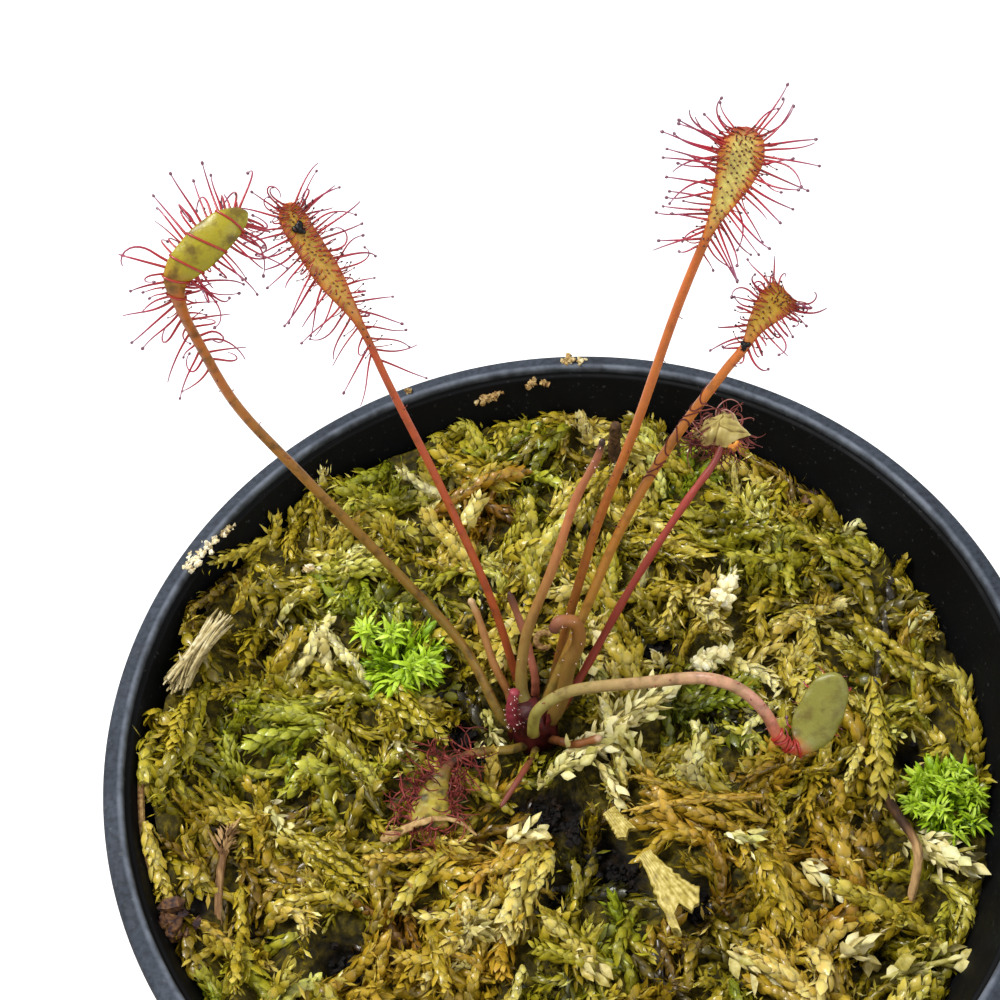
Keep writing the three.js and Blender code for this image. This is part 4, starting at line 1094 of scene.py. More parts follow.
def leaf_tentacles(name, leaf, look):
    """Long tentacles round the blade's edge, short dark ones on its face and tiny hairs on its stalk."""
    rng = np.random.default_rng(leaf["seed"])
    reach, start = leaf["reach"], leaf["blade_from"]
    skin = Skin()

    # Round the edge, of several lengths. Those near the stalk point back, those at the tip ahead.
    count = leaf["long"]
    index = np.arange(count)
    share = (index + rng.uniform(0.1, 0.9, count)) / count
    t = start - 0.02 + (1.015 - start) * share
    side = np.where(index % 2 == 0, 1.0, -1.0)
    root, along, across, upward = blade_places(leaf, t, side * rng.uniform(0.85, 1.0, count), 0.3)
    forward = -1.0 + 1.2 * share ** 0.7 + 1.5 * share ** 6 + rng.normal(0, 0.17, count)
    lift = rng.normal(0.12, 0.22, count) + leaf["lift"]
    leave = unit(across * side[:, None] + along * forward[:, None] + upward * lift[:, None])
    axes = unit(np.cross(leave, upward + rng.normal(0, 0.5, (count, 3))))
    flipped = (rng.uniform(0, 1, count) < 0.35) & (share < 0.85)
    axes = np.where(flipped[:, None], -axes, axes)
    size = rng.choice(LENGTHS, count, p=LENGTH_SHARES) * rng.uniform(0.85, 1.08, count)
    curl = rng.choice(CURLS, count, p=leaf["curls"]) * rng.uniform(0.6, 1.3, count)
    curl = curl + 0.9 * smooth(0.85, 1, share)
    thick = rng.uniform(0.078, 0.104, count) * (0.75 + 0.25 * size)
    beaded = rng.uniform(0, 1, count) < leaf["beads"]
    bead = np.where(beaded, rng.uniform(0.11, 0.145, count) * (0.75 + 0.25 * size), 0)
    hairs(skin, root, leave, axes, reach * size, curl, 0.3, thick, bead, 13)
    blade_bands(skin, leaf)

    # On the face, tiny dark ones: dots in the middle, longer ones that lie back over the edge.
    share, sideways = scattered(rng, leaf, leaf["glands"])
    count = len(share)
    t = start + (1 - start) * share
    root, along, across, upward = blade_places(leaf, t, sideways, 0.55)
    outer = np.maximum(smooth(*leaf["strokes"], np.abs(sideways)), 0.8 * smooth(0.8, 0.95, share))
    out = np.sign(sideways) * outer * 1.3
    back = (-0.9 + 1.9 * share ** 4 + rng.normal(0, 0.25, count)) * outer
    leave = unit(upward * (1.1 - 0.85 * outer)[:, None] + across * out[:, None] + along * back[:, None])
    axes = unit(np.cross(leave, across * np.sign(out + 1e-6)[:, None] + along * 0.4))
    length = 0.16 + 1.0 * outer * rng.uniform(0.4, 1.2, count)
    short = Skin()
    hairs(short, root, leave, axes, length, 0.7 * outer, 0.0, np.full(count, 0.055),
          rng.uniform(0.065, 0.095, count), 5)

    # Tiny hairs on the stalk.
    count = 22
    t = rng.uniform(0.12, start - 0.03, count)
    centre, along, across, upward, _, half = leaf_frame(leaf, t)
    turn = rng.uniform(0, TURN, count)
    radial = across * np.cos(turn)[:, None] + upward * np.sin(turn)[:, None]
    leave = unit(radial + along * rng.normal(0, 0.4, count)[:, None])
    hairs(short, centre + radial * half[:, None] * 0.95, leave, across, rng.uniform(0.1, 0.24, count),
          np.zeros(count), 0.0, np.full(count, 0.045), np.full(count, 0.055), 4)
    piece(name + "_tentacles", skin, look["long"])
    piece(name + "_glands", short, look["short"])


def prey(name, leaf, look):
    """The black remains of an insect stuck to the face of a blade."""
    t, size = leaf["prey"]
    centre, along, across, upward, _, _ = leaf_frame(leaf, np.full(4, t))
    offset = np.array([[0, 0], [0.8, 0.7], [-0.9, 0.5], [0.3, -0.9]]) * size
    at = centre + along * offset[:, :1] + across * offset[:, 1:] + upward * BLADE_DEPTH * 0.75
    points, faces = balls(at, along, np.array([1.0, 0.7, 0.6, 0.65]) * size, 1.3)
    skin = Skin()
    skin.add(points, faces, tone=0.0)
    piece(name + "_prey", skin, look)


def leaves():
    """The live leaves with their tentacles and glands, and the insect remains on two of them."""
    looks = {
        "long": tentacle_look("tentacle_red", (0.0, "#94200e"), (0.2, "#9c1026"), (0.45, "#92163a"),
                              (0.68, "#823456"), (0.85, "#8c667e"), (0.92, "#6c4458")),
        "short": tentacle_look("gland_dark", (0.0, "#a03a14"), (0.4, "#86200e"), (0.85, "#4a140e"),
                               (0.92, "#3a1410")),
    }
    husk = fibre_look("prey_black", (0.3, "#030202"), (0.6, "#0c0605"), (0.9, "#2a1510"), size=0.4, rough=0.4)
    for name, leaf in LEAVES.items():
        leaf_body(name, leaf)
        leaf_tentacles(name, leaf, looks)
        if "prey" in leaf:
            prey(name, leaf, husk)


# ---- stalks, the young leaf and the bud ----

STALKS = {
    "stalk_tall_bare": {
        "route": [(-3.6, 3.9, 63.2), (-3.9, 5.2, 65), (-3, 7.5, 69.5), (0, 10, 76.5), (2.5, 12.5, 82.5),
                  (4.5, 13.5, 86.5), (5, 14, 88)],
        "radii": (0.6, 0.25),
        "colours": [(0, "#6e6a30"), (0.35, "#94743a"), (0.6, "#b06c40"), (0.86, "#8a543a"),
                    (0.95, "#2c1c14")],
        "hairs": 10,
    },
    "stalk_short_left": {
        "route": [(-4.9, 4.3, 62), (-5.2, 5.6, 63.6), (-6.1, 7.1, 66), (-7, 10, 70), (-7.5, 11, 71.5)],
        "radii": (0.42, 0.3),
        "colours": [(0, "#7e4c28"), (0.4, "#a06c38"), (0.8, "#ac7e4a"), (1, "#c8ac80")],
    },
    "stalk_short_behind": {
        "route": [(-2.8, 5.3, 62.3), (-2.6, 6.3, 64), (-3, 8.8, 67), (-4, 11.5, 71)],
        "radii": (0.4, 0.33),
        "colours": [(0, "#8a4630"), (0.5, "#b06a50"), (0.85, "#a86c50"), (1, "#3c2418")],
    },
    "stalk_cut": {
        "route": [(-1.9, 1.5, 61.3), (-1.2, 0.6, 62.6), (0, -0.2, 63.2), (2.5, -0.5, 64.5)],
        "radii": (0.38, 0.34),
        "colours": [(0, "#4a2c14"), (0.6, "#784620"), (0.93, "#8a562a"), (0.97, "#c0a080")],
    },
    "stalk_dead_front": {
        "route": [(-3.3, 1.2, 60.6), (-3.6, 0, 61.6), (-5, -2.5, 62.8), (-7, -5, 62.6)],
        "radii": (0.36, 0.22),
        "colours": [(0, "#5a4a20"), (0.3, "#6e5a2a"), (0.6, "#7a3a28"), (1, "#6a3428")],
    },
    "young_leaf_hooked": {
        "route": [(-1.7, 2.6, 62.8), (-0.6, 3.2, 65), (0.5, 4.6, 69), (1.5, 5.4, 71.6), (1.2, 6, 73.6),
                  (0, 6, 74), (-0.7, 5.8, 72.9)],
        "radii": (0.68, 0.52),
        "colours": [(0, "#5e4a1c"), (0.35, "#7c5e26"), (0.7, "#905e2c"), (0.88, "#84523c"), (1, "#3a1a20")],
        "hairs": 26,
    },
    "bud_red": {
        "route": [(-4.5, 2.5, 63.3), (-5, 2, 64.6), (-5, 2.6, 66.1), (-4.5, 3.3, 68)],
        "radii": (0.66, 0.45),
        "colours": [(0, "#48101a"), (0.5, "#6e1c2a"), (1, "#8e3440")], "hairs": 34,
    },
}


def stalk_look(name, stops, stain=0.0):
    """A stalk's colours from foot to tip, streaked, with dark spots as strong as stain."""
    look = Look(name + "_skin", specular_ior_level=0.35, subsurface_weight=0.1, subsurface_scale=0.0008)
    streak = look.noise(0.5, 4, (1, 1, 0.3))
    run = look.ramp(look.number("along"), *stops)
    body = look.mix(look.ramp(streak, (0.45, 0.0), (0.8, 0.4)), run, "#6b3418")
    if stain:
        body = look.mix(look.ramp(look.noise(1.2, 5), (0.48, 0.0), (0.64, stain)), body, "#241a08")
    look.set("Base Color", body)
    look.set("Roughness", look.ramp(streak, (0.3, 0.38), (0.7, 0.6)))
    look.bump(streak, 0.06, 0.7)
    return look.made


def stalks():
    """Bare stalks, the young leaf and the bud, some of them with short pale hairs."""
    pale = tentacle_look("pale_hair", (0.0, "#a8705c"), (0.8, "#d0a8a0"), (0.95, "#dcc0b8"))
    for number, (name, stalk) in enumerate(STALKS.items()):
        rng = np.random.default_rng(50 + number)
        steps, sides = 60, 20
        t = np.linspace(0, 1, steps)
        path = catmull_rom(stalk["route"], t)
        first, last = stalk["radii"]
        radius = first + (last - first) * t + 0.02 * np.sin(t * 40 + number)
        radius *= np.interp(t, [0, 0.97, 1], [1, 1, 0.45])
        _, across, outward = frames(path)
        rings = hoops(path, across, outward, radius[:, None], circle(sides)[None])
        skin = Skin()
        skin.add(*loft(rings), along=on_rings(t, sides, [0, 1]))
        piece(name + "_body", skin, stalk_look(name, stalk["colours"]), [name])
        if "hairs" in stalk:
            count = stalk["hairs"]
            at = rng.integers(4, steps - 3, count)
            turn = rng.uniform(0, TURN, count)[:, None]
            radial = np.cos(turn) * across[at] + np.sin(turn) * outward[at]
            fuzz = Skin()
            hairs(fuzz, path[at] + radial * radius[at, None] * 0.95, radial, across[at],
                  rng.uniform(0.08, 0.2, count), np.zeros(count), 0.0, np.full(count, 0.035),
                  np.full(count, 0.05), 4)
            piece(name + "_hairs", fuzz, pale)


# ---- crown and roots ----

# Routes of the roots, measured from the crown's axis.
ROOTS = [[(0, 0, 60), (0.5, -0.5, 50), (2, 0, 40), (1, 2, 26)],
         [(0.8, 0.3, 59), (5, 2, 54.5), (10, 3, 48), (13, 7, 38)],
         [(-0.8, 0.4, 59), (-5, 3, 54), (-9, 4, 46), (-10, 9, 36)],
         [(0, -0.8, 59), (-1.5, -5, 54), (-4, -9, 47), (-3, -14, 39)]]


def crown_and_roots():
    """A dark red knob clasped by the sheaths of old stalks, with thin black roots below."""
    rng = np.random.default_rng(61)
    radius, top = CROWN["radius"], CROWN["top"]
    profile = np.array([(0.02, 56.6), (0.7 * radius, 56.6), (0.85 * radius, 59), (radius, 61.5),
                        (0.9 * radius, 63.2), (0.5 * radius, top - 0.3), (0.02, top)])
    line = rounded(profile, 1.0, 6)
    sides = 48
    angle = circle(sides)
    swell = 1 + 0.05 * np.sin(angle * 5 + line[:, 1:] * 0.8) + 0.03 * np.sin(angle * 11 + line[:, 1:] * 2)
    swell = swell * np.interp(line[:, 1:], [60.5, 62], [1, 0.84])
    skin = Skin()
    skin.add(*loft(lathed(line, sides, swell, (CROWN["x"], CROWN["y"]))), tone=0.0)
    axis = np.array([CROWN["x"], CROWN["y"], 0])
    sheaths = 15
    out = pointing(np.arange(sheaths) * SPIRAL_STEP, 0.0)
    root = axis + out * radius * 0.7 + UP * rng.uniform(60.6, 62.4, (sheaths, 1))
    way = unit(UP + out * rng.uniform(-0.35, 0.1, (sheaths, 1)))
    long = rng.uniform(1.6, 2.6, sheaths)
    points, faces, _, rim = leaflets(root, way, out, long, rng.uniform(1.2, 1.8, sheaths), 0.5, 0.15, 0.12)
    skin.add(points, faces, tone=0.25 * rim)
    steps = 40
    t = np.linspace(0, 1, steps)
    paths = np.stack([catmull_rom(route, t) for route in np.array(ROOTS, float) + axis])
    points, faces = tubes(paths, np.tile(np.linspace(0.7, 0.4, steps), (len(ROOTS), 1)), 12)
    skin.add(points, faces, tone=-0.2)
    look = fibre_look("crown_red", (0.1, "#140403"), (0.35, "#380a0a"), (0.6, "#5c1614"), (0.85, "#86382c"),
                      size=0.9, rough=0.55, depth=0.1)
    piece("crown_body", skin, look, ["crown_and_roots"])


# ---- dry strands, twigs and tufts ----

CREAM = {
    "cream_strand_back": {"at": (16.4, 13.9), "heading": 0.9, "pitch": 0.5, "length": 5, "radius": 1.5},
    "cream_strand_middle": {"at": (13.7, 7.2), "heading": 0.2, "pitch": 0.2, "length": 4.5, "radius": 1.3},
    "cream_strand_crown": {"at": (4.6, 1.4), "heading": 0.5, "pitch": 0.2, "length": 9, "radius": 1.4},
    "cream_strand_front": {"at": (4.8, -11.2), "heading": -1.1, "pitch": 0.05, "length": 11, "radius": 1.4},
    "cream_strand_right": {"at": (29.2, -12.8), "heading": -0.75, "pitch": 0.3, "length": 5.2, "radius": 1.1},
    "cream_strand_wall": {"at": (-32.6, 11.3), "heading": 0.87, "pitch": 0.05, "length": 7.5, "radius": 1.2},
}
STRAW_END = (-0.6, -0.1, 0.6, 0.5, 0.8, -0.4, -0.1, 0.2, 1.9, 1.5)
# Small pale bits round the crown and on the bed: start, end, height over the ground, length of their leaves.
BITS = [((-7.6, 4.6), (-6.9, 3.0), 1.2, 1.2), ((-7.1, 2.6), (-6.4, 1.0), 0.8, 1.1),
        ((-9.3, 1.8), (-8.0, 1.0), 0.9, 1.1), ((-3.6, -3.1), (0.2, -1.3), 0.8, 1.5),
        ((-6.9, -8.4), (-4.0, -7.0), 0.9, 1.8), ((-1.0, -0.4), (2.6, -0.8), 0.9, 1.8),
        ((3.0, 12.2), (4.0, 10.8), 1.2, 1.4), ((1.9, 9.6), (3.8, 4.8), 0.9, 1.5),
        ((9.2, 6.6), (8.8, 8.6), 1.4, 1.2), ((1.8, -1.6), (3.4, -5.0), 0.9, 1.5),
        ((-15.9, 3.4), (-15.3, 1.0), 1.0, 1.1), ((5.9, -2.6), (3.6, 0.2), 1.6, 1.7),
        ((7.0, 2.6), (9.4, 4.4), 1.3, 1.6), ((22, -22.6), (29.0, -22.0), 0.9, 2.0),
        ((19, -20.8), (21.4, -20.4), 1.2, 2.2), ((28.6, 18.6), (30.4, 19.6), 0.8, 1.3),
        ((-10.6, -15.2), (-8.8, -15.8), 1.0, 1.6), ((-2.6, -18.0), (-0.4, -19.8), 0.9, 1.6),
        ((10.2, -19.0), (12.8, -21.2), 0.9, 1.8), ((-2.8, -2.6), (1.3, -1.7), 1.4, 1.4),
        ((-26.2, 16.0), (-23.6, 18.4), 0.9, 1.3), ((-27.5, -2.0), (-25.8, -5.0), 0.9, 1.4),
        ((17.8, -12.4), (20.0, -15.4), 1.0, 1.7), ((11.8, -9.4), (14.4, -10.4), 1.0, 1.5),
        ((32.4, 7.6), (34.0, 9.2), 0.9, 1.1)]


def cream_line(item):
    """Centre line of a CAD cream strand."""
    x, y = item["at"]
    centre = np.array([x, y, ground(x, y) + item["radius"] * 0.9])
    way = pointing(item["heading"], item["pitch"])
    return bowed(centre, way, item["length"], item["radius"] * 0.5)


def cream_look():
    """Dry moss leaves from brown to cream, some of them with a little green."""
    look = Look("cream_leaf", specular_ior_level=0.35)
    grain = look.noise(0.5, 5)
    base = look.ramp(look.varied("tone", grain, 0.7), (0.0, "#5e4c12"), (0.25, "#a3913e"), (0.5, "#d8c987"),
                     (0.75, "#ece2b0"), (1.0, "#f8f3d8"))
    # Painted shade: the leaves are darker towards their roots, where they overlap.
    look.shade(look.mix(look.number("green"), base, "#9fb04a"), (0.0, 0.45), (0.4, 0.9), (1.0, 1.0))
    look.set("Roughness", look.ramp(grain, (0.3, 0.42), (0.7, 0.7)))
    look.bump(grain, 0.1, 0.8)
    return look.made


def knob(skin, rng, centre, axis, length, radius, tone=0.8):
    """A knobbly lump like popcorn: small rough balls grown together."""
    count = 30
    spin = unit(rng.normal(0, 1, (count, 3)))
    offset = spin * radius * rng.uniform(0.3, 0.75, (count, 1))
    offset = offset + axis * dot(spin, axis[None]) * (length / 2 - radius * 0.9)
    size = rng.uniform(0.22, 0.46, count) * radius
    points, faces = balls(centre + offset, unit(spin + axis * 0.3), size, 1.15, 8, 10)
    points = points + 0.1 * radius * np.sin(points * 8.0 / radius + 1.0)[:, [1, 2, 0]]
    tones = np.repeat(tone + rng.normal(0, 0.12, count), len(points) // count)
    skin.add(points, faces, tone=tones, leaf=1.0, green=0.0)


def papery(skin, rng, line, count, long, tone, green=0.1):
    """Dry pointed leaves that clasp a strand loosely, bent and turned their own ways."""
    place = (np.arange(count) + rng.uniform(0, 1, count)) / count
    at = between(line[None], place[None])[0] + rng.normal(0, 0.16, (count, 3)) * long
    along = unit(between(unit(np.gradient(line, axis=0))[None], place[None])[0])
    side = unit(np.cross(along, UP))
    turn = ((np.arange(count) * GOLDEN_SHARE + rng.normal(0, 0.08, count)) % 1 - 0.5) * math.radians(290)
    radial = np.sin(turn)[:, None] * side + np.cos(turn)[:, None] * np.cross(side, along)
    lean = rng.uniform(0.1, 0.8, count)[:, None]
    way = unit(along * np.cos(lean) + radial * np.sin(lean) + rng.normal(0, 0.2, (count, 3)))
    bulge = radial + rng.normal(0, 0.3, (count, 3))
    bulge = unit(bulge - way * dot(bulge, way))
    size = long * rng.uniform(0.5, 1.15, count)
    wide = size * rng.uniform(0.35, 0.75, count)
    points, faces, share, rim = leaflets(at + radial * 0.22, way, bulge, size, wide, 0.75,
                                         rng.normal(0.05, 0.22, count), 0.16, POINTED)
    per_leaf = len(share) // count
    tones = np.repeat(tone + rng.normal(0, 0.13, count), per_leaf)
    greens = np.repeat(np.clip(green + rng.normal(0, 0.12, count), 0, 1), per_leaf)
    skin.add(points, faces, leaf=0.25 + 0.75 * share, tone=tones - 0.1 * rim, green=greens)
    core = np.interp(np.linspace(0, 1, len(line)), [0, 0.2, 0.8, 1], [0.1, 0.3, 0.25, 0.05])[None]
    points, faces = tubes(line[None], core, 6)
    skin.add(points, faces, leaf=0.5, tone=tone - 0.15, green=green)


def straw_blade(skin, line, first, last, ends):
    """A flattened straw that widens along its line, ridged lengthwise and hollow at its torn end.
    ends is how far the end reaches on, from one side edge to the other."""
    steps, sides = 50, 56
    t = np.linspace(0, 1, steps)[:, None]
    path = catmull_rom(line[::2], t[:, 0])
    tangent = unit(np.gradient(path, axis=0))
    side = unit(np.cross(tangent, UP))
    upward = np.cross(side, tangent)
    angle = circle(sides)[None]
    across = np.cos(angle)
    ragged = 1 + 0.08 * ripple(np.sign(across) * 4 + 9 + 0 * t, t * 12, 1.0, 71)
    wide = (first + (last - first) * t ** 1.3) * ragged
    ridges = 0.06 * np.sin(across * 23 + 2) + 0.05 * ripple(across * 6, t * 5, 0.5, 72)
    thick = np.minimum(wide, 0.75) * (0.42 + ridges)
    rings = (path[:, None] + side[:, None] * (across * wide)[..., None]
             + upward[:, None] * (np.sin(angle) * thick)[..., None])
    torn = np.interp(across, np.linspace(-1, 1, len(ends)), ends) * smooth(0.72, 1.0, t)
    rings = rings + tangent[:, None] * torn[..., None]
    hollow = (path[-4] + side[-1] * (across[0] * wide[-1] * 0.8)[:, None]
              + upward[-1] * (np.sin(angle[0]) * thick[-1] * 0.5)[:, None])
    rings = np.concatenate([rings, hollow[None]])
    # Lighter on the ridges and darker in the grooves between them as painted shade, with streaks over that.
    tone = 0.27 + 0.08 * np.sin(across * 23 + 2) + 0.06 * ripple(across * 4, t * 4, 0.5, 73)
    # The inside of the hollow end is painted dark as shade.
    tone = np.concatenate([tone.ravel(), np.zeros(sides), [0.2, 0.0]])
    skin.add(*loft(rings), tone=tone, leaf=1.0, green=0.0)


def frayed(skin, rng, line, count, radius, tone):
    """A bundle of thin straws that part at both ends."""
    along = unit(line[-1] - line[0])
    side = unit(np.cross(along, UP))
    upward = np.cross(side, along)
    turn, out = rng.uniform(0, TURN, count), radius * np.sqrt(rng.uniform(0, 1, count))
    share = np.linspace(-1, 1, len(line))[None]
    part = (0.75 + 0.45 * share ** 2) * out[:, None]
    twist = turn[:, None] + share * rng.normal(0, 0.5, (count, 1))
    paths = (line[None] + side * (np.cos(twist) * part)[..., None]
             + upward * (np.sin(twist) * part)[..., None] + along * rng.uniform(-0.8, 0.8, (count, 1, 1)))
    radii = rng.uniform(0.08, 0.2, (count, 1)) * np.interp(share, [-1, -0.7, 0.8, 1], [0.5, 1, 0.9, 0.3])
    points, faces = tubes(inside(paths, 0.5), radii, 6)
    tones = np.repeat(tone + rng.normal(0, 0.14, count), len(points) // count)
    skin.add(points, faces, leaf=1.0, green=0.05, tone=tones)


def cream_strands():
    """The six dry strands, each of its own kind, and the small pale bits on the moss."""
    rng = np.random.default_rng(71)
    look = cream_look()
    stems = fibre_look("dry_stems", (0.15, "#4c3e1e"), (0.35, "#86764a"), (0.55, "#b4a474"),
                       (0.8, "#dcd2ac"), size=0.7)
    for name, item in CREAM.items():
        line = cream_line(item)
        skin = Skin()
        if name == "cream_strand_front":
            straw_blade(skin, line[:4] + UP * 0.5, 0.65, 0.95, (0.2, -0.3, 0.3, -0.2))
            ahead = unit(line[-1] - line[3]) * [1, 1, 0]
            straw_blade(skin, line[3:] + UP * 0.9 + ahead, 0.6, 2.0, STRAW_END)
        elif name in ("cream_strand_back", "cream_strand_middle"):
            along = unit(line[-1] - line[0])
            knob(skin, rng, line[STRAND_STEPS // 2], along, item["length"] * 0.8, item["radius"] * 0.85)
            papery(skin, rng, line, 12, 1.2, 0.7)
        elif name == "cream_strand_wall":
            line = line[4] + turned(line - line[4], UP, np.full(len(line), 0.2))
            line[:, 2] += heap(line[:, 0], line[:, 1])
            frayed(skin, rng, line, 90, 0.95, 0.1)
            papery(skin, rng, line, 26, 1.3, 0.12, 0.0)
        else:
            across = unit(np.cross(line[-1] - line[0], UP))
            for offset in (across * 0.55, across * -0.55, UP * 0.35):
                papery(skin, rng, line + offset, int(4 * item["length"]), 1.9, 0.62)
        piece(name + "_dry", skin, stems if name == "cream_strand_wall" else look, [name])
    skin = Skin()
    for start, end, over, long in BITS:
        share = np.linspace(0, 1, STRAND_STEPS)[:, None]
        flat = np.array(start) * (1 - share) + np.array(end) * share
        high = surface(flat[:, 0], flat[:, 1]) + over + 0.5 * np.sin(share[:, 0] * math.pi)
        path = np.column_stack([flat, high])
        tone, green = rng.uniform(0.42, 0.7), rng.uniform(0, 0.4)
        papery(skin, rng, path, int(9 + 3 * np.linalg.norm(path[-1] - path[0])), long, tone, green)
    piece("cream_bits", skin, look)


TWIGS = {
    "twig_left": {"route": [(-30.2, -2.6, 61.6), (-30.8, -6, 63.8), (-31.2, -11, 64), (-30.9, -17.2, 62.4)],
                  "radii": (0.38, 0.3), "flakes": (110, 0.08, 0.44), "tones": (0.3, 0.3)},
    "twig_right": {"route": [(26.5, -5.4, 58.8), (26.6, -9.2, 61.4), (27.3, -13.2, 62.2), (26, -16.8, 60.4)],
                   "radii": (0.42, 0.34), "flakes": (0, 0, 1), "tones": (0.0, 0.5)},
    "twig_back": {"route": [(8.6, 29.6, 61.4), (8.2, 30.2, 65.5), (8.4, 30.4, 69.4)], "radii": (0.75, 0.5),
                  "flakes": (0, 0, 1), "tones": (0.0, 0.08)},
}


def twigs():
    """Twigs. flakes says how many loose bits a twig has and between which shares of it, tones how pale
    it is below and above its middle."""
    look = fibre_look("bark", (0.15, "#150c06"), (0.4, "#3c2716"), (0.65, "#6b4c2c"), (0.9, "#a58456"),
                      size=0.5, stretch=(1, 0.25, 1), depth=0.2)
    for number, (name, twig) in enumerate(TWIGS.items()):
        rng = np.random.default_rng(100 + number)
        steps, sides = 70, 18
        t = np.linspace(0, 1, steps)
        path = catmull_rom(twig["route"], t)
        tangent, across, outward = frames(path)
        angle = circle(sides)[None]
        first, last = twig["radii"]
        bark = 1 + 0.14 * ripple(angle * 3 + 0 * t[:, None], t[:, None] * 22, 1.2, 80 + number)
        bark = bark + 0.08 * np.sin(angle * 7)
        end = np.interp(t, [0, 0.96, 1], [1, 1, 0.55])[:, None]
        radius = (first + (last - first) * t)[:, None] * bark * end
        skin = Skin()
        tone = on_rings(np.interp(t, [0.45, 0.65], twig["tones"]), sides, twig["tones"])
        skin.add(*loft(hoops(path, across, outward, radius, angle)), tone=tone)
        count, low, high = twig["flakes"]
        if count:
            at = rng.integers(int(low * steps), int(high * steps), count)
            turn = rng.uniform(0, TURN, (count, 1))
            radial = np.cos(turn) * across[at] + np.sin(turn) * outward[at]
            way = unit(radial * 0.45 - tangent[at] + rng.normal(0, 0.4, (count, 3)))
            root = path[at] + radial * 0.4 + UP * 0.25
            long, wide = rng.uniform(0.6, 1.8, count), rng.uniform(0.12, 0.36, count)
            curl = rng.normal(0, 0.3, count)
            points, faces, _, _ = leaflets(root, way, radial, long, wide, 0.5, curl, 0.1)
            tones = twig["tones"][0] + rng.normal(0.2, 0.2, count)
            skin.add(points, faces, tone=np.repeat(tones, len(points) // count))
        piece(name + "_bark", skin, look, [name])


# Crumbs of peat and dry moss on the lip and the wall of the pot, on the bed and stuck to the moss:
# x, y, z, radius, stretch and tone.
CRUMBS = [(-33.2, 18.9, 69.9, 0.3, 1.6, 0.85), (-32.7, 20.0, 69.9, 0.44, 1.8, 0.9),
          (-32.2, 20.7, 69.8, 0.36, 1.4, 0.8), (-31.7, 21.3, 69.7, 0.42, 1.8, 0.9),
          (-31.0, 22.2, 69.6, 0.34, 1.8, 0.85), (-30.3, 23.1, 69.3, 0.28, 1.6, 0.8),
          (-29.9, 23.7, 69.1, 0.26, 2.0, 0.75), (-34.2, -12.9, 67.0, 1.2, 1.1, 0.26),
          (4.6, 38.7, 70.05, 0.42, 2.0, 0.6), (6.1, 38.5, 70.05, 0.3, 1.4, 0.7),
          (-11.6, 37.2, 70.1, 0.22, 1.5, 0.5), (-3.7, 37.2, 67.6, 0.44, 1.5, 0.55),
          (-2.9, 37.3, 67.9, 0.3, 1.3, 0.5), (0.9, 37.6, 68.6, 0.4, 1.8, 0.6),
          (2.1, 37.6, 68.5, 0.3, 1.3, 0.5), (-22.8, 21.0, 64.6, 0.38, 2.3, 0.8),
          (27.3, 23.4, 62.3, 1.0, 1.2, 0.2)]
# A dry bit behind the crown, curled into an open ring.
CURL = {"centre": (-1.3, 10.6, 63.4), "radius": 0.75, "thick": 0.3}
# A strip of bark along the wall.
STRIP = [(-37.3, 1.0, 67.5), (-37.25, -1.5, 67.5), (-37.0, -5.0, 67.3), (-36.05, -9.8, 67.0)]


def crumb_bits():
    """Crumbs as small heaps of grains, the curled bit and the strip of bark."""
    rng = np.random.default_rng(19)
    grains = 14
    spots = np.repeat(np.array(CRUMBS), grains, axis=0)
    count = len(spots)
    axes = np.repeat(unit(rng.normal(0, 1, (len(CRUMBS), 3)) * [1, 1, 0.3]), grains, axis=0)
    spin = rng.normal(0, 0.6, (count, 3)) * spots[:, 3:4] * [1, 1, 0.5]
    at = spots[:, :3] + spin + axes * dot(axes, spin) * (spots[:, 4:5] - 1)
    radii = spots[:, 3] * rng.uniform(0.3, 0.72, count)
    points, faces = balls(at, unit(rng.normal(0, 1, (count, 3))), radii, 1.5, 4, 5)
    points = points + rng.normal(0, 0.05, points.shape)
    skin = Skin()
    tones = spots[:, 5] - 0.35 + rng.normal(0, 0.08, count)
    skin.add(points, faces, tone=np.repeat(tones, len(points) // count))
    turn = np.linspace(0.3, 0.9 * TURN, 24)
    ring = np.stack([np.cos(turn), 0.75 * np.sin(turn), 0.6 * np.sin(turn)], axis=-1) * CURL["radius"]
    thick = CURL["thick"] * np.interp(turn, [0.3, 0.8, 5.0, 5.66], [0.15, 1, 1, 0.15])
    points, faces = tubes((ring + CURL["centre"])[None], thick[None], 10)
    skin.add(points, faces, tone=0.12)
    t = np.linspace(0, 1, 24)
    thick = np.interp(t, [0, 0.1, 0.8, 1], [0.1, 0.34, 0.28, 0.05])
    points, faces = tubes(catmull_rom(STRIP, t)[None], thick[None], 8)
    skin.add(points, faces, tone=0.12)
    look = fibre_look("dry_crumb", (0.2, "#2a1a1c"), (0.4, "#6c4a28"), (0.6, "#a88850"), (0.8, "#d0c090"),
                      (0.95, "#e4dcc0"), size=0.4, rough=0.6)
    piece("dry_crumbs", skin, look, flat=True)


# Each tuft has stars of pointed leaves, at x, y and height over the ground, that stand on a low mound.
TUFTS = {
    "green_moss_left": {
        "at": (-14.6, 10.6), "radius": 4.2, "seed": 41, "long": 1.9, "wide": 0.28, "leaves": 54,
        "stars": [(-13.7, 8.3, 2.5), (-12.3, 9.1, 2.0), (-15.2, 12.5, 2.4), (-17.6, 13.4, 2.0),
                  (-14.9, 7.2, 1.8)],
    },
    "green_moss_right": {
        "at": (31.4, -8.3), "radius": 3.6, "seed": 42, "long": 1.5, "wide": 0.26, "leaves": 40,
        "stars": [(32.6, -6.1, 2.2), (30.1, -10.1, 2.2), (28.4, -9.0, 1.8), (32.9, -10.8, 2.0),
                  (31.2, -8.0, 2.6), (29.6, -6.6, 1.9), (33.4, -8.4, 2.2), (31.2, -11.6, 1.6)],
    },
}


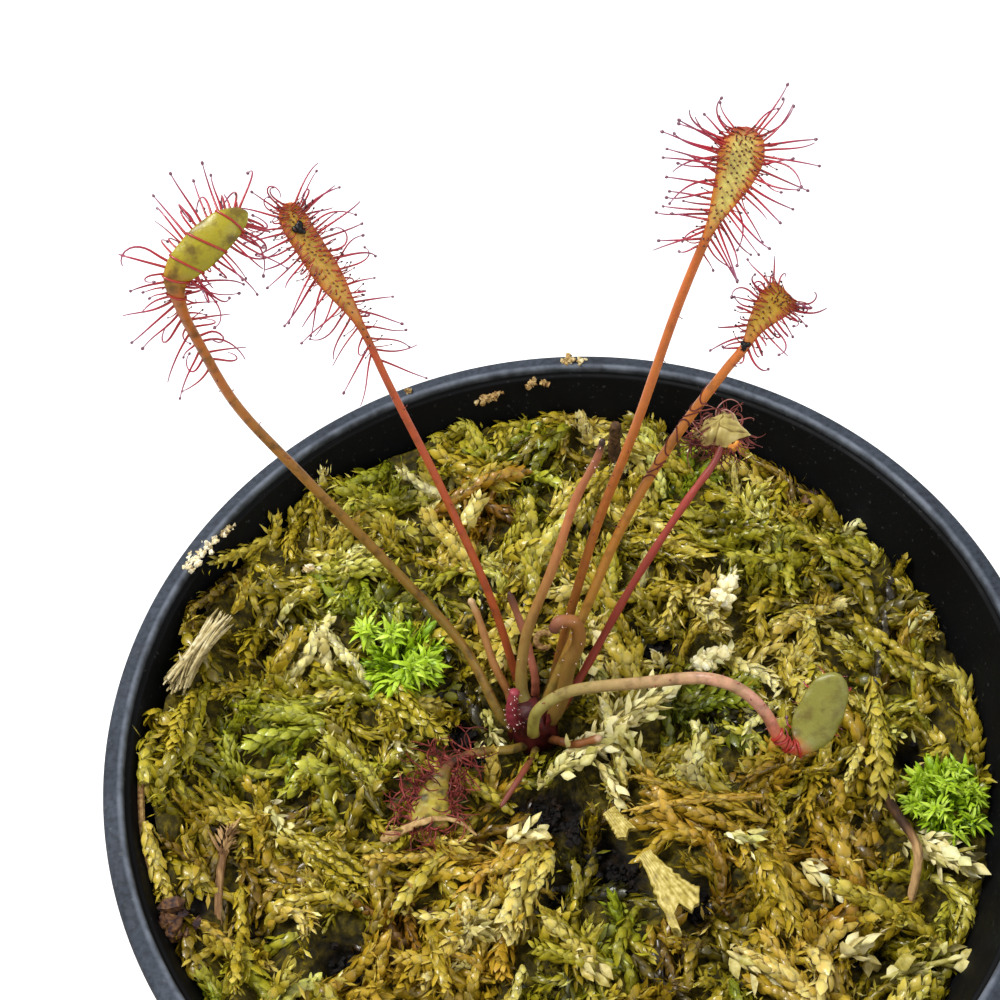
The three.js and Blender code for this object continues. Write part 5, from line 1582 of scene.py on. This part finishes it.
def star(skin, rng, tuft, centre):
    """A shoot's head: pointed leaves in two rounds, the inner ones more upright."""
    count = tuft["leaves"]
    index = np.arange(count)
    turn = index * GOLDEN_ANGLE + rng.uniform(0, TURN)
    pitch = np.interp(index, [0, count - 1], [1.25, -0.05]) + rng.normal(0, 0.32, count)
    out = pointing(turn, 0.0)
    tip = unit(UP + rng.normal(0, 0.4, 3) * [1, 1, 0])
    way = unit(out * np.cos(pitch)[:, None] + tip * np.sin(pitch)[:, None] + rng.normal(0, 0.12, (count, 3)))
    bulge = tip - way * dot(way, tip[None])
    long = tuft["long"] * np.interp(index, [0, count - 1], [0.55, 1.0]) * rng.uniform(0.6, 1.15, count)
    root = centre + way * 0.1 + rng.normal(0, 0.3, (count, 3))
    curl = 0.42 + rng.normal(0, 0.2, count)
    points, faces, share, rim = leaflets(root, way, unit(bulge), long, long * tuft["wide"], 0.35, curl, 0.1,
                                         POINTED)
    tone = np.repeat(0.68 + rng.normal(0, 0.1, count), len(share) // count)
    skin.add(points, faces, leaf=0.45 + 0.55 * share, rim=rim, tone=tone, green=1.0, amber=0.0)
    stem = centre[None, None] + UP * np.linspace(-2.2, 0.1, 4)[None, :, None]
    points, faces = tubes(stem, np.full((1, 4), 0.2), 6)
    skin.add(points, faces, leaf=0.4, rim=0, tone=0.5, green=1.0, amber=0.0)


def tuft_look():
    """Fresh moss, bright yellow-green and a little translucent."""
    look = Look("bright_moss", specular_ior_level=0.35, subsurface_weight=0.4, subsurface_scale=0.0008)
    look.set("Subsurface Radius", (1.0, 1.0, 0.4))
    tone = look.varied("tone", look.noise(0.8, 3), 0.4)
    base = look.ramp(tone, (0.0, "#304804"), (0.35, "#74980a"), (0.65, "#a6c71e"), (1.0, "#d4ea5e"))
    # Painted shade: the leaves are darker towards their roots, inside each star.
    look.shade(base, (0.0, 0.55), (0.6, 0.92), (1.0, 1.0))
    look.set("Roughness", look.ramp(look.noise(0.6, 2), (0.3, 0.35), (0.7, 0.55)))
    return look.made


def tufts():
    """Bright green tufts: stars of pointed leaves over short shoots that arch out of a low mound."""
    look = tuft_look()
    for name, tuft in TUFTS.items():
        rng = np.random.default_rng(tuft["seed"])
        x, y = tuft["at"]
        count = 22
        share, _ = sunflower(count)
        angle = np.arange(count) * SPIRAL_STEP
        s = np.linspace(0, 1, STRAND_STEPS)[None]
        out = tuft["radius"] * (share[:, None] * 0.5 + s * (0.1 + 0.42 * share[:, None]))
        px, py = x + out * np.cos(angle)[:, None], y + out * np.sin(angle)[:, None]
        lift = (1.0 + rng.uniform(0, 0.9, (count, 1))) * s - 1.3 * (s * share[:, None]) ** 2
        paths = inside(np.stack([px, py, ground(px, py) + 0.4 + lift], axis=-1))
        tone = 0.5 + rng.normal(0, 0.1, count)
        tones = {"tone": tone, "green": np.ones(count), "amber": np.zeros(count)}
        skin = Skin()
        dress(skin, rng, paths, 26, tones=tones, size=(0.7, 1.0), fine=1.0)
        for at_x, at_y, over in tuft["stars"]:
            star(skin, rng, tuft, np.array([at_x, at_y, ground(at_x, at_y) + over]))
        base = np.array([[x, y, ground(x, y) + 0.2]])
        mound, faces = balls(base, UP[None], np.array([tuft["radius"] * 0.66]), 0.2, 14, 30)
        skin.add(mound, faces, tone=0.1, green=0.9, amber=0, leaf=0.3, rim=0)
        piece(name + "_shoots", skin, look, [name])


# ---- dead leaves ----

DRIED = {
    "route": [(-1.6, 3.4, 60.8), (0, 4.6, 62.4), (2.4, 6.6, 65.4), (7, 10.5, 71.5), (12.5, 14.5, 78),
              (15, 16.5, 80), (16.5, 19, 81)],
    "radii": (0.4, 0.3), "along": (0.55, 0.75, 0.2), "middle": (15.9, 19.0, 81.1), "height": 1.25,
    # The cap's corners and the cracks in it, across and along its axis.
    "corners": [(-0.8, -2.2), (1.2, -1.5), (2.6, 0.45), (0.3, 1.85), (-0.6, 1.65), (-1.6, 0.4),
                (-1.95, -1.7)],
    "cracks": [[(-0.57, 1.5), (-0.12, 0.75), (-0.16, 0.12), (0.03, -0.35), (0.07, -1.5)],
               [(-0.12, 0.75), (0.4, 0.86), (0.5, 1.6)], [(-1.3, 0.3), (-0.66, 0.14), (-0.16, 0.12)],
               [(0.03, -0.35), (1.1, -0.2), (2.2, 0.4)], [(-0.16, 0.12), (-0.9, -0.9), (-1.5, -1.5)]],
}
DEAD = {
    "route": [(-4.3, 1.2, 61.2), (-5.6, 0.5, 62.3), (-9, -0.3, 64), (-11, -1.6, 64.8), (-12.5, -4, 64.4),
              (-13.5, -6.6, 63.8)],
    "radii": (0.4, 1.8), "depth": 0.5,
    "fold": [(-17.4, -7.0, 63.5), (-15.9, -6.9, 64.2), (-14.2, -6.5, 64.6), (-12.4, -6.3, 64.8),
             (-10.6, -6.7, 64.5), (-9.2, -7.8, 63.8)],
}
DEAD_STEPS = 90


def threads(rng, roots, ways, length, loop, steps=16):
    """Curly paths: each keeps turning round an axis of its own that drifts."""
    count = len(roots)
    way = unit(np.array(ways, float))
    axis = unit(np.cross(way, rng.normal(0, 1, (count, 3))))
    hop = (length / (steps - 1))[:, None]
    paths = [roots - way * 0.2]
    for _ in range(steps - 1):
        paths.append(paths[-1] + way * hop)
        axis = axis + rng.normal(0, 0.22, (count, 3))
        axis = unit(axis - way * dot(axis, way))
        way = unit(turned(way, axis, loop / (steps - 1) * rng.uniform(0.4, 1.6, count)))
    return np.stack(paths, axis=1)


def cracked(flat, cracks):
    """1 on the cracks, given as lines of points on the plane, and 0 away from them."""
    nearest = np.full(flat.shape[:-1], 9.0)
    for line in cracks:
        for start, end in zip(np.array(line[:-1]), np.array(line[1:])):
            way = end - start
            share = np.clip(((flat - start) @ way) / (way @ way), 0, 1)
            nearest = np.minimum(nearest, np.linalg.norm(flat - start - share[..., None] * way, axis=-1))
    wander = 0.02 * ripple(flat[..., 0], flat[..., 1], 0.3, 97)
    return np.exp(-((nearest + wander) / 0.055) ** 2)


def add_threads(skin, paths, thick, tone):
    """Adds threads that thin out towards their ends to a skin."""
    steps = paths.shape[1]
    taper = np.interp(np.linspace(0, 1, steps), [0, 0.2, 1], [1.2, 1, 0.5])
    points, faces = tubes(paths, thick[:, None] * taper[None], 5)
    skin.add(points, faces, tone=np.repeat(tone, steps * 5))


def dried_frame():
    """Middle of the dried leaf's cap and its side, along and upward vectors."""
    along = unit(np.array(DRIED["along"]))
    side = unit(np.cross(along, UP))
    return np.array(DRIED["middle"]), side, along, np.cross(side, along)


def on_corners(places):
    """Points on the cap's outline, at places counted in corners."""
    corners = np.array(DRIED["corners"] + DRIED["corners"][:1])
    index = np.arange(len(corners))
    return np.stack([np.interp(places, index, corners[:, axis]) for axis in (0, 1)], axis=-1)


def dried_stalk():
    """The dried leaf's thin reddish stalk."""
    steps, sides = 90, 16
    t = np.linspace(0, 1, steps)
    path = catmull_rom(DRIED["route"], t)
    _, across, outward = frames(path)
    first, last = DRIED["radii"]
    radius = first + (last - first) * t + 0.03 * np.sin(t * 60)
    rings = hoops(path, across, outward, radius[:, None], circle(sides)[None])
    stalk = Skin()
    stalk.add(*loft(rings), along=on_rings(t, sides, [0, 1]))
    stops = [(0, "#5c2418"), (0.3, "#823224"), (0.7, "#94382e"), (0.95, "#4a1814")]
    piece("leaf_dried_stalk", stalk, stalk_look("dried_stalk", stops), ["leaf_dried"])


def dried_cap():
    """The cone. Its rings run from the middle of the underside out to the rim and in again over the top."""
    middle, side, along, upward = dried_frame()
    under, rows, sides = 12, 34, 168
    turn = np.arange(sides) / sides * len(DRIED["corners"])
    pole = np.cos(turn * TURN)[None]
    out = np.concatenate([np.linspace(0.1, 0.97, under), np.linspace(1.0, 0.04, rows)])[:, None]
    over = np.concatenate([np.full(under, -0.25), np.ones(rows)])[:, None]
    reach = out * (1 - 0.05 * (1 - pole) * out)
    flat = on_corners(turn)[None] * reach[..., None]
    x, y = flat[..., 0], flat[..., 1]
    crumple = 0.09 * ripple(x, y, 1.0, 91) + 0.04 * ripple(x, y, 0.4, 92)
    cracks = cracked(flat, DRIED["cracks"])
    high = over * DRIED["height"] * (1 - out ** 1.4) * (1 + 0.12 * pole * out)
    high = high + crumple - 0.09 * cracks * (over > 0)
    rings = middle + side * flat[..., :1] + along * flat[..., 1:] + upward * high[..., None]
    pale_edge = smooth(0.9, 1.0, out) * ((turn > 1.95) & (turn < 3.1))[None]
    # The tone is painted lighter towards one side, as light falling on it, and follows the crumples, with
    # painted shade in their dips; the pale edge and the dark cracks are the leaf's own.
    tone = 0.02 + 0.26 * smooth(-1.9, 0.6, x) + 0.35 * pale_edge + 2 * crumple - 0.3 * cracks
    # The underside and its middle point are painted darker as shade under the cap.
    tone = tone - 0.3 * (over < 0)
    cap = Skin()
    cap.add(*loft(rings), tone=np.concatenate([tone.ravel(), [-0.1, 0.2]]))
    paper = fibre_look("dry_paper", (0.05, "#241608"), (0.22, "#54381a"), (0.34, "#70582c"),
                       (0.5, "#8a783e"), (0.68, "#a59452"), (0.9, "#c4b47c"),
                       size=1.4, stretch=(1, 1, 0.6), rough=0.6, depth=0.2)
    piece("leaf_dried_cap", cap, paper)


def dried_flesh(rng):
    """Lumps of amber flesh under the cap's rim."""
    middle, side, along, upward = dried_frame()
    spots = np.array([(1.35, -1.0, -0.5), (0.9, -1.3, -0.8), (1.7, -0.6, -0.45), (0.3, -1.5, -0.7)])
    at = middle + side * spots[:, :1] + along * spots[:, 1:2] + upward * spots[:, 2:]
    ways = unit(side + along * rng.normal(0, 0.5, (len(spots), 1)))
    points, faces = balls(at, ways, np.array([0.5, 0.55, 0.4, 0.5]), 1.3, 9, 12)
    points = points + 0.06 * np.sin(points * 9.0)[:, [1, 2, 0]]
    flesh = Skin()
    flesh.add(points, faces, tone=np.repeat([0.3, 0.15, 0.35, 0.0], len(points) // len(spots)))
    look = fibre_look("dry_flesh", (0.2, "#4a1c10"), (0.45, "#9c4c1c"), (0.7, "#c88434"), (0.95, "#dca858"),
                      size=0.5)
    piece("leaf_dried_flesh", flesh, look)


def dried_threads(rng):
    """Threads hang from the rim, first in front and at the right, and loop up behind the cap."""
    middle, side, along, upward = dried_frame()
    # count, corners between which they root, how much they droop, length, how far they turn, tone
    groups = [
        (20, (1.2, 2.2), 0.7, (1.4, 3.2), (0.4, 2.4), 0.15),
        (50, (-0.9, 1.4), 1.1, (1.2, 3.4), (0.4, 2.6), -0.1),
        (9, (4.2, 5.8), -0.5, (3.8, 5.6), (3.8, 6.0), 0.2),
        (12, (2.2, 4.0), -0.2, (1.0, 2.4), (1.0, 4.0), 0.1),
        (44, (4.8, 6.8), 0.3, (1.4, 4.0), (1.5, 6.5), 0.0),
    ]
    skin = Skin()
    for count, places, droop, length, loop, tint in groups:
        rim = on_corners(rng.uniform(*places, count) % len(DRIED["corners"]))
        rim = rim * rng.uniform(0.7, 0.95, (count, 1))
        away = side * rim[:, :1] + along * rim[:, 1:]
        ways = unit(away) - UP * droop + rng.normal(0, 0.4, (count, 3))
        roots = middle + away - upward * 0.15
        paths = threads(rng, roots, ways, rng.uniform(*length, count), rng.uniform(*loop, count))
        add_threads(skin, paths, rng.uniform(0.05, 0.08, count), tint + rng.uniform(-0.15, 0.15, count))
    # Some lie wound round the stalk of the leaf in front.
    turn = np.linspace(0.3, TURN * 0.9, 16)
    gap = 0.04
    for at in np.linspace(0.355, 0.46, 9):
        t = at + 0.008 * np.sin(turn + at * 90)
        centre, _, across, upright, _, half = leaf_frame(LEAVES["leaf_right"], t)
        depth = np.minimum(half, BLADE_DEPTH)
        path = (centre + across * (np.cos(turn) * (half + gap))[:, None]
                + upright * (np.sin(turn) * (depth + gap))[:, None])
        add_threads(skin, path[None], np.array([0.065]), np.array([-0.05]))
    look = fibre_look("dry_thread", (0.1, "#2a0e0a"), (0.35, "#5a201a"), (0.6, "#82443c"), (0.9, "#a58a80"),
                      size=0.6)
    piece("leaf_dried_threads", skin, look)


def dried_leaf():
    """The dried leaf: a reddish stalk, a crumpled papery cone and a fringe of curly threads."""
    rng = np.random.default_rng(21)
    dried_stalk()
    dried_cap()
    dried_flesh(rng)
    dried_threads(rng)


def dead_line(steps):
    """Shares, centre line, tangent, side and upward vectors, half width and half depth of the dead leaf."""
    t = np.linspace(0, 1, steps)
    path = catmull_rom(DEAD["route"], t)
    tangent = unit(np.gradient(path, axis=0))
    side = unit(np.cross(tangent, UP))
    first, last = DEAD["radii"]
    wide = (first + (last - first) * smooth(0.55, 0.95, t)) * np.interp(t, [0, 0.97, 1], [1, 1, 0.6])
    return t, path, tangent, side, np.cross(side, tangent), wide, np.minimum(wide, DEAD["depth"])


def dead_blade():
    """The limp stalk and the shrivelled blade."""
    t, path, _, side, upward, wide, thick = dead_line(DEAD_STEPS)
    sides = 22
    angle = circle(sides)[None]
    rough = 1 + 0.12 * ripple(np.cos(angle) * 3, t[:, None] * 18, 0.8, 94) * smooth(0.5, 0.7, t)[:, None]
    rings = (path[:, None] - side[:, None] * (np.cos(angle) * wide[:, None] * rough)[..., None]
             + upward[:, None] * (np.sin(angle) * thick[:, None] * rough)[..., None])
    body = Skin()
    body.add(*loft(rings), along=on_rings(t, sides, [0, 1]))
    stops = [(0, "#6a5420"), (0.3, "#84702c"), (0.45, "#7a4a2a"), (0.58, "#5c2a1c"), (0.68, "#746218"),
             (0.85, "#9c8c22"), (1, "#8c7c24")]
    look = stalk_look("dead_blade", stops, 0.85)
    piece("leaf_dead_front_body", body, look, ["leaf_dead_front"])


def dead_edge():
    """The blade's end, rolled up into a pale papery edge."""
    t = np.linspace(0, 1, 50)
    edge = catmull_rom(DEAD["fold"], t)
    radius = np.interp(t, [0, 0.08, 0.3, 0.7, 1], [0.25, 0.55, 0.34, 0.22, 0.1])
    _, across, outward = frames(edge)
    angle = circle(16)[None]
    ragged = 1 + 0.16 * ripple(np.cos(angle) * 2, t[:, None] * 14, 0.8, 95)
    roll = Skin()
    roll.add(*loft(hoops(edge, across, outward, radius[:, None] * ragged, angle, 0.6)), tone=0.1)
    look = fibre_look("dead_edge", (0.2, "#6e4c28"), (0.45, "#a08050"), (0.7, "#c4a874"), (0.9, "#dcc8a0"),
                      size=0.5)
    piece("leaf_dead_front_edge", roll, look)


def dead_threads():
    """Threads that stand out to both sides, from the neck and under the edge, and fork."""
    rng = np.random.default_rng(31)
    _, path, tangent, side, upward, wide, thick = dead_line(DEAD_STEPS)
    skin = Skin()
    # count, shares of the leaf and half turns round it between which they root, how far they point ahead
    groups = [(46, (0.55, 0.98), (-0.2, 0.3), 0.0), (34, (0.55, 0.98), (0.85, 1.25), 0.0),
              (14, (0.38, 0.55), (0.1, 0.9), 0.0), (16, (0.96, 1.0), (0.2, 0.8), 1.2)]
    for count, spots, turns, ahead in groups:
        at = (rng.uniform(*spots, count) * (DEAD_STEPS - 1)).astype(int)
        turn = rng.uniform(*turns, count) * math.pi
        across = side[at] * np.cos(turn)[:, None]
        above = upward[at] * (np.sin(turn) * thick[at] * 0.8)[:, None]
        roots = path[at] + across * wide[at, None] * 0.9 + above
        lean = tangent[at] * rng.normal(ahead, 0.5, (count, 1))
        ways = unit(across + lean + UP * rng.uniform(0, 0.5, (count, 1)))
        paths = threads(rng, roots, ways, rng.uniform(1.4, 4.4, count), rng.uniform(0.6, 4.0, count))
        fork = paths[np.arange(count), rng.integers(4, 11, count)]
        turned_off = unit(ways + rng.normal(0, 0.8, (count, 3)))
        forks = threads(rng, fork, turned_off, rng.uniform(0.7, 1.9, count), rng.uniform(0.3, 2.6, count), 8)
        for lines, thick_from, thick_to in ((paths, 0.065, 0.105), (forks, 0.05, 0.075)):
            lines[..., 2] = np.maximum(lines[..., 2], ground(lines[..., 0], lines[..., 1]) + 1.3)
            add_threads(skin, lines, rng.uniform(thick_from, thick_to, count), rng.uniform(-0.15, 0.2, count))
    look = fibre_look("dead_thread", (0.1, "#2c0c08"), (0.35, "#5e1e18"), (0.6, "#8e3c34"), (0.9, "#bc8478"),
                      size=0.6, rough=0.5)
    piece("leaf_dead_front_threads", skin, look)


def dead_leaf():
    """The dead leaf on the moss, with a curled edge and dark red threads."""
    dead_blade()
    dead_edge()
    dead_threads()


# ---- camera, light and floor ----

# Fitted to the rim in the photo: place, angles in degrees, focal length and sensor.
CAMERA = {"place": (-3.794, -55.012, 175.481), "tilt": 53.717, "roll": -6.968, "lens": 50, "sensor": 36}
# name, place in metres, size in metres, watts
LAMPS = [("key", (-0.22, 0.12, 0.48), 0.16, 2.6), ("fill", (0.32, -0.25, 0.35), 0.30, 0.8)]


def studio():
    """The photo's view, a white surround, two lamps and the floor."""
    scene = bpy.context.scene
    scene.view_settings.view_transform = "Standard"
    tilt, roll = math.radians(CAMERA["tilt"]), math.radians(CAMERA["roll"])
    ahead = Vector((0, math.cos(tilt), -math.sin(tilt)))
    level = Vector((1, 0, 0))
    over = Vector((0, math.sin(tilt), math.cos(tilt)))
    right = level * math.cos(roll) + over * math.sin(roll)
    over = over * math.cos(roll) - level * math.sin(roll)
    lens = bpy.data.cameras.new("camera")
    lens.lens, lens.sensor_width = CAMERA["lens"], CAMERA["sensor"]
    lens.clip_start = 0.005
    camera = bpy.data.objects.new("camera", lens)
    turn = Matrix((right, over, -ahead)).transposed().to_4x4()
    camera.matrix_world = Matrix.Translation(Vector(CAMERA["place"]) * MM) @ turn
    scene.collection.objects.link(camera)
    scene.camera = camera

    world = bpy.data.worlds.new("studio")
    world.use_nodes = True
    backdrop = world.node_tree.nodes["Background"]
    backdrop.inputs["Color"].default_value = (1, 1, 1, 1)
    backdrop.inputs["Strength"].default_value = 0.75
    scene.world = world

    for name, place, size, watts in LAMPS:
        light = bpy.data.lights.new(name, "AREA")
        light.size, light.energy = size, watts
        lamp = bpy.data.objects.new(name, light)
        lamp.location = place
        aim = Vector((0, 0, 0.06)) - Vector(place)
        lamp.rotation_euler = aim.to_track_quat("-Z", "Y").to_euler()
        scene.collection.objects.link(lamp)

    bpy.ops.mesh.primitive_plane_add(size=4)
    floor = bpy.context.object
    floor.name = "floor"
    paint = Look("floor_paint", roughness=0.9, specular_ior_level=0.1)
    paint.set("Base Color", paint.ramp(paint.noise(300, 2), (0.0, 0.93), (1.0, 0.96)))
    floor.data.materials.append(paint.made)


studio()
pot_shell()
moss_bed()
crumbs()
moss_strands()
leaves()
stalks()
crown_and_roots()
cream_strands()
twigs()
crumb_bits()
tufts()
dried_leaf()
dead_leaf()

soil = fibre_look("soil", (0.3, "#120b05"), (0.6, "#2e1f10"), (0.9, "#54401f"), size=1.5)
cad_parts["growing_mix"].data.materials.clear()
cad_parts["growing_mix"].data.materials.append(soil)

bpy.context.view_layer.update()
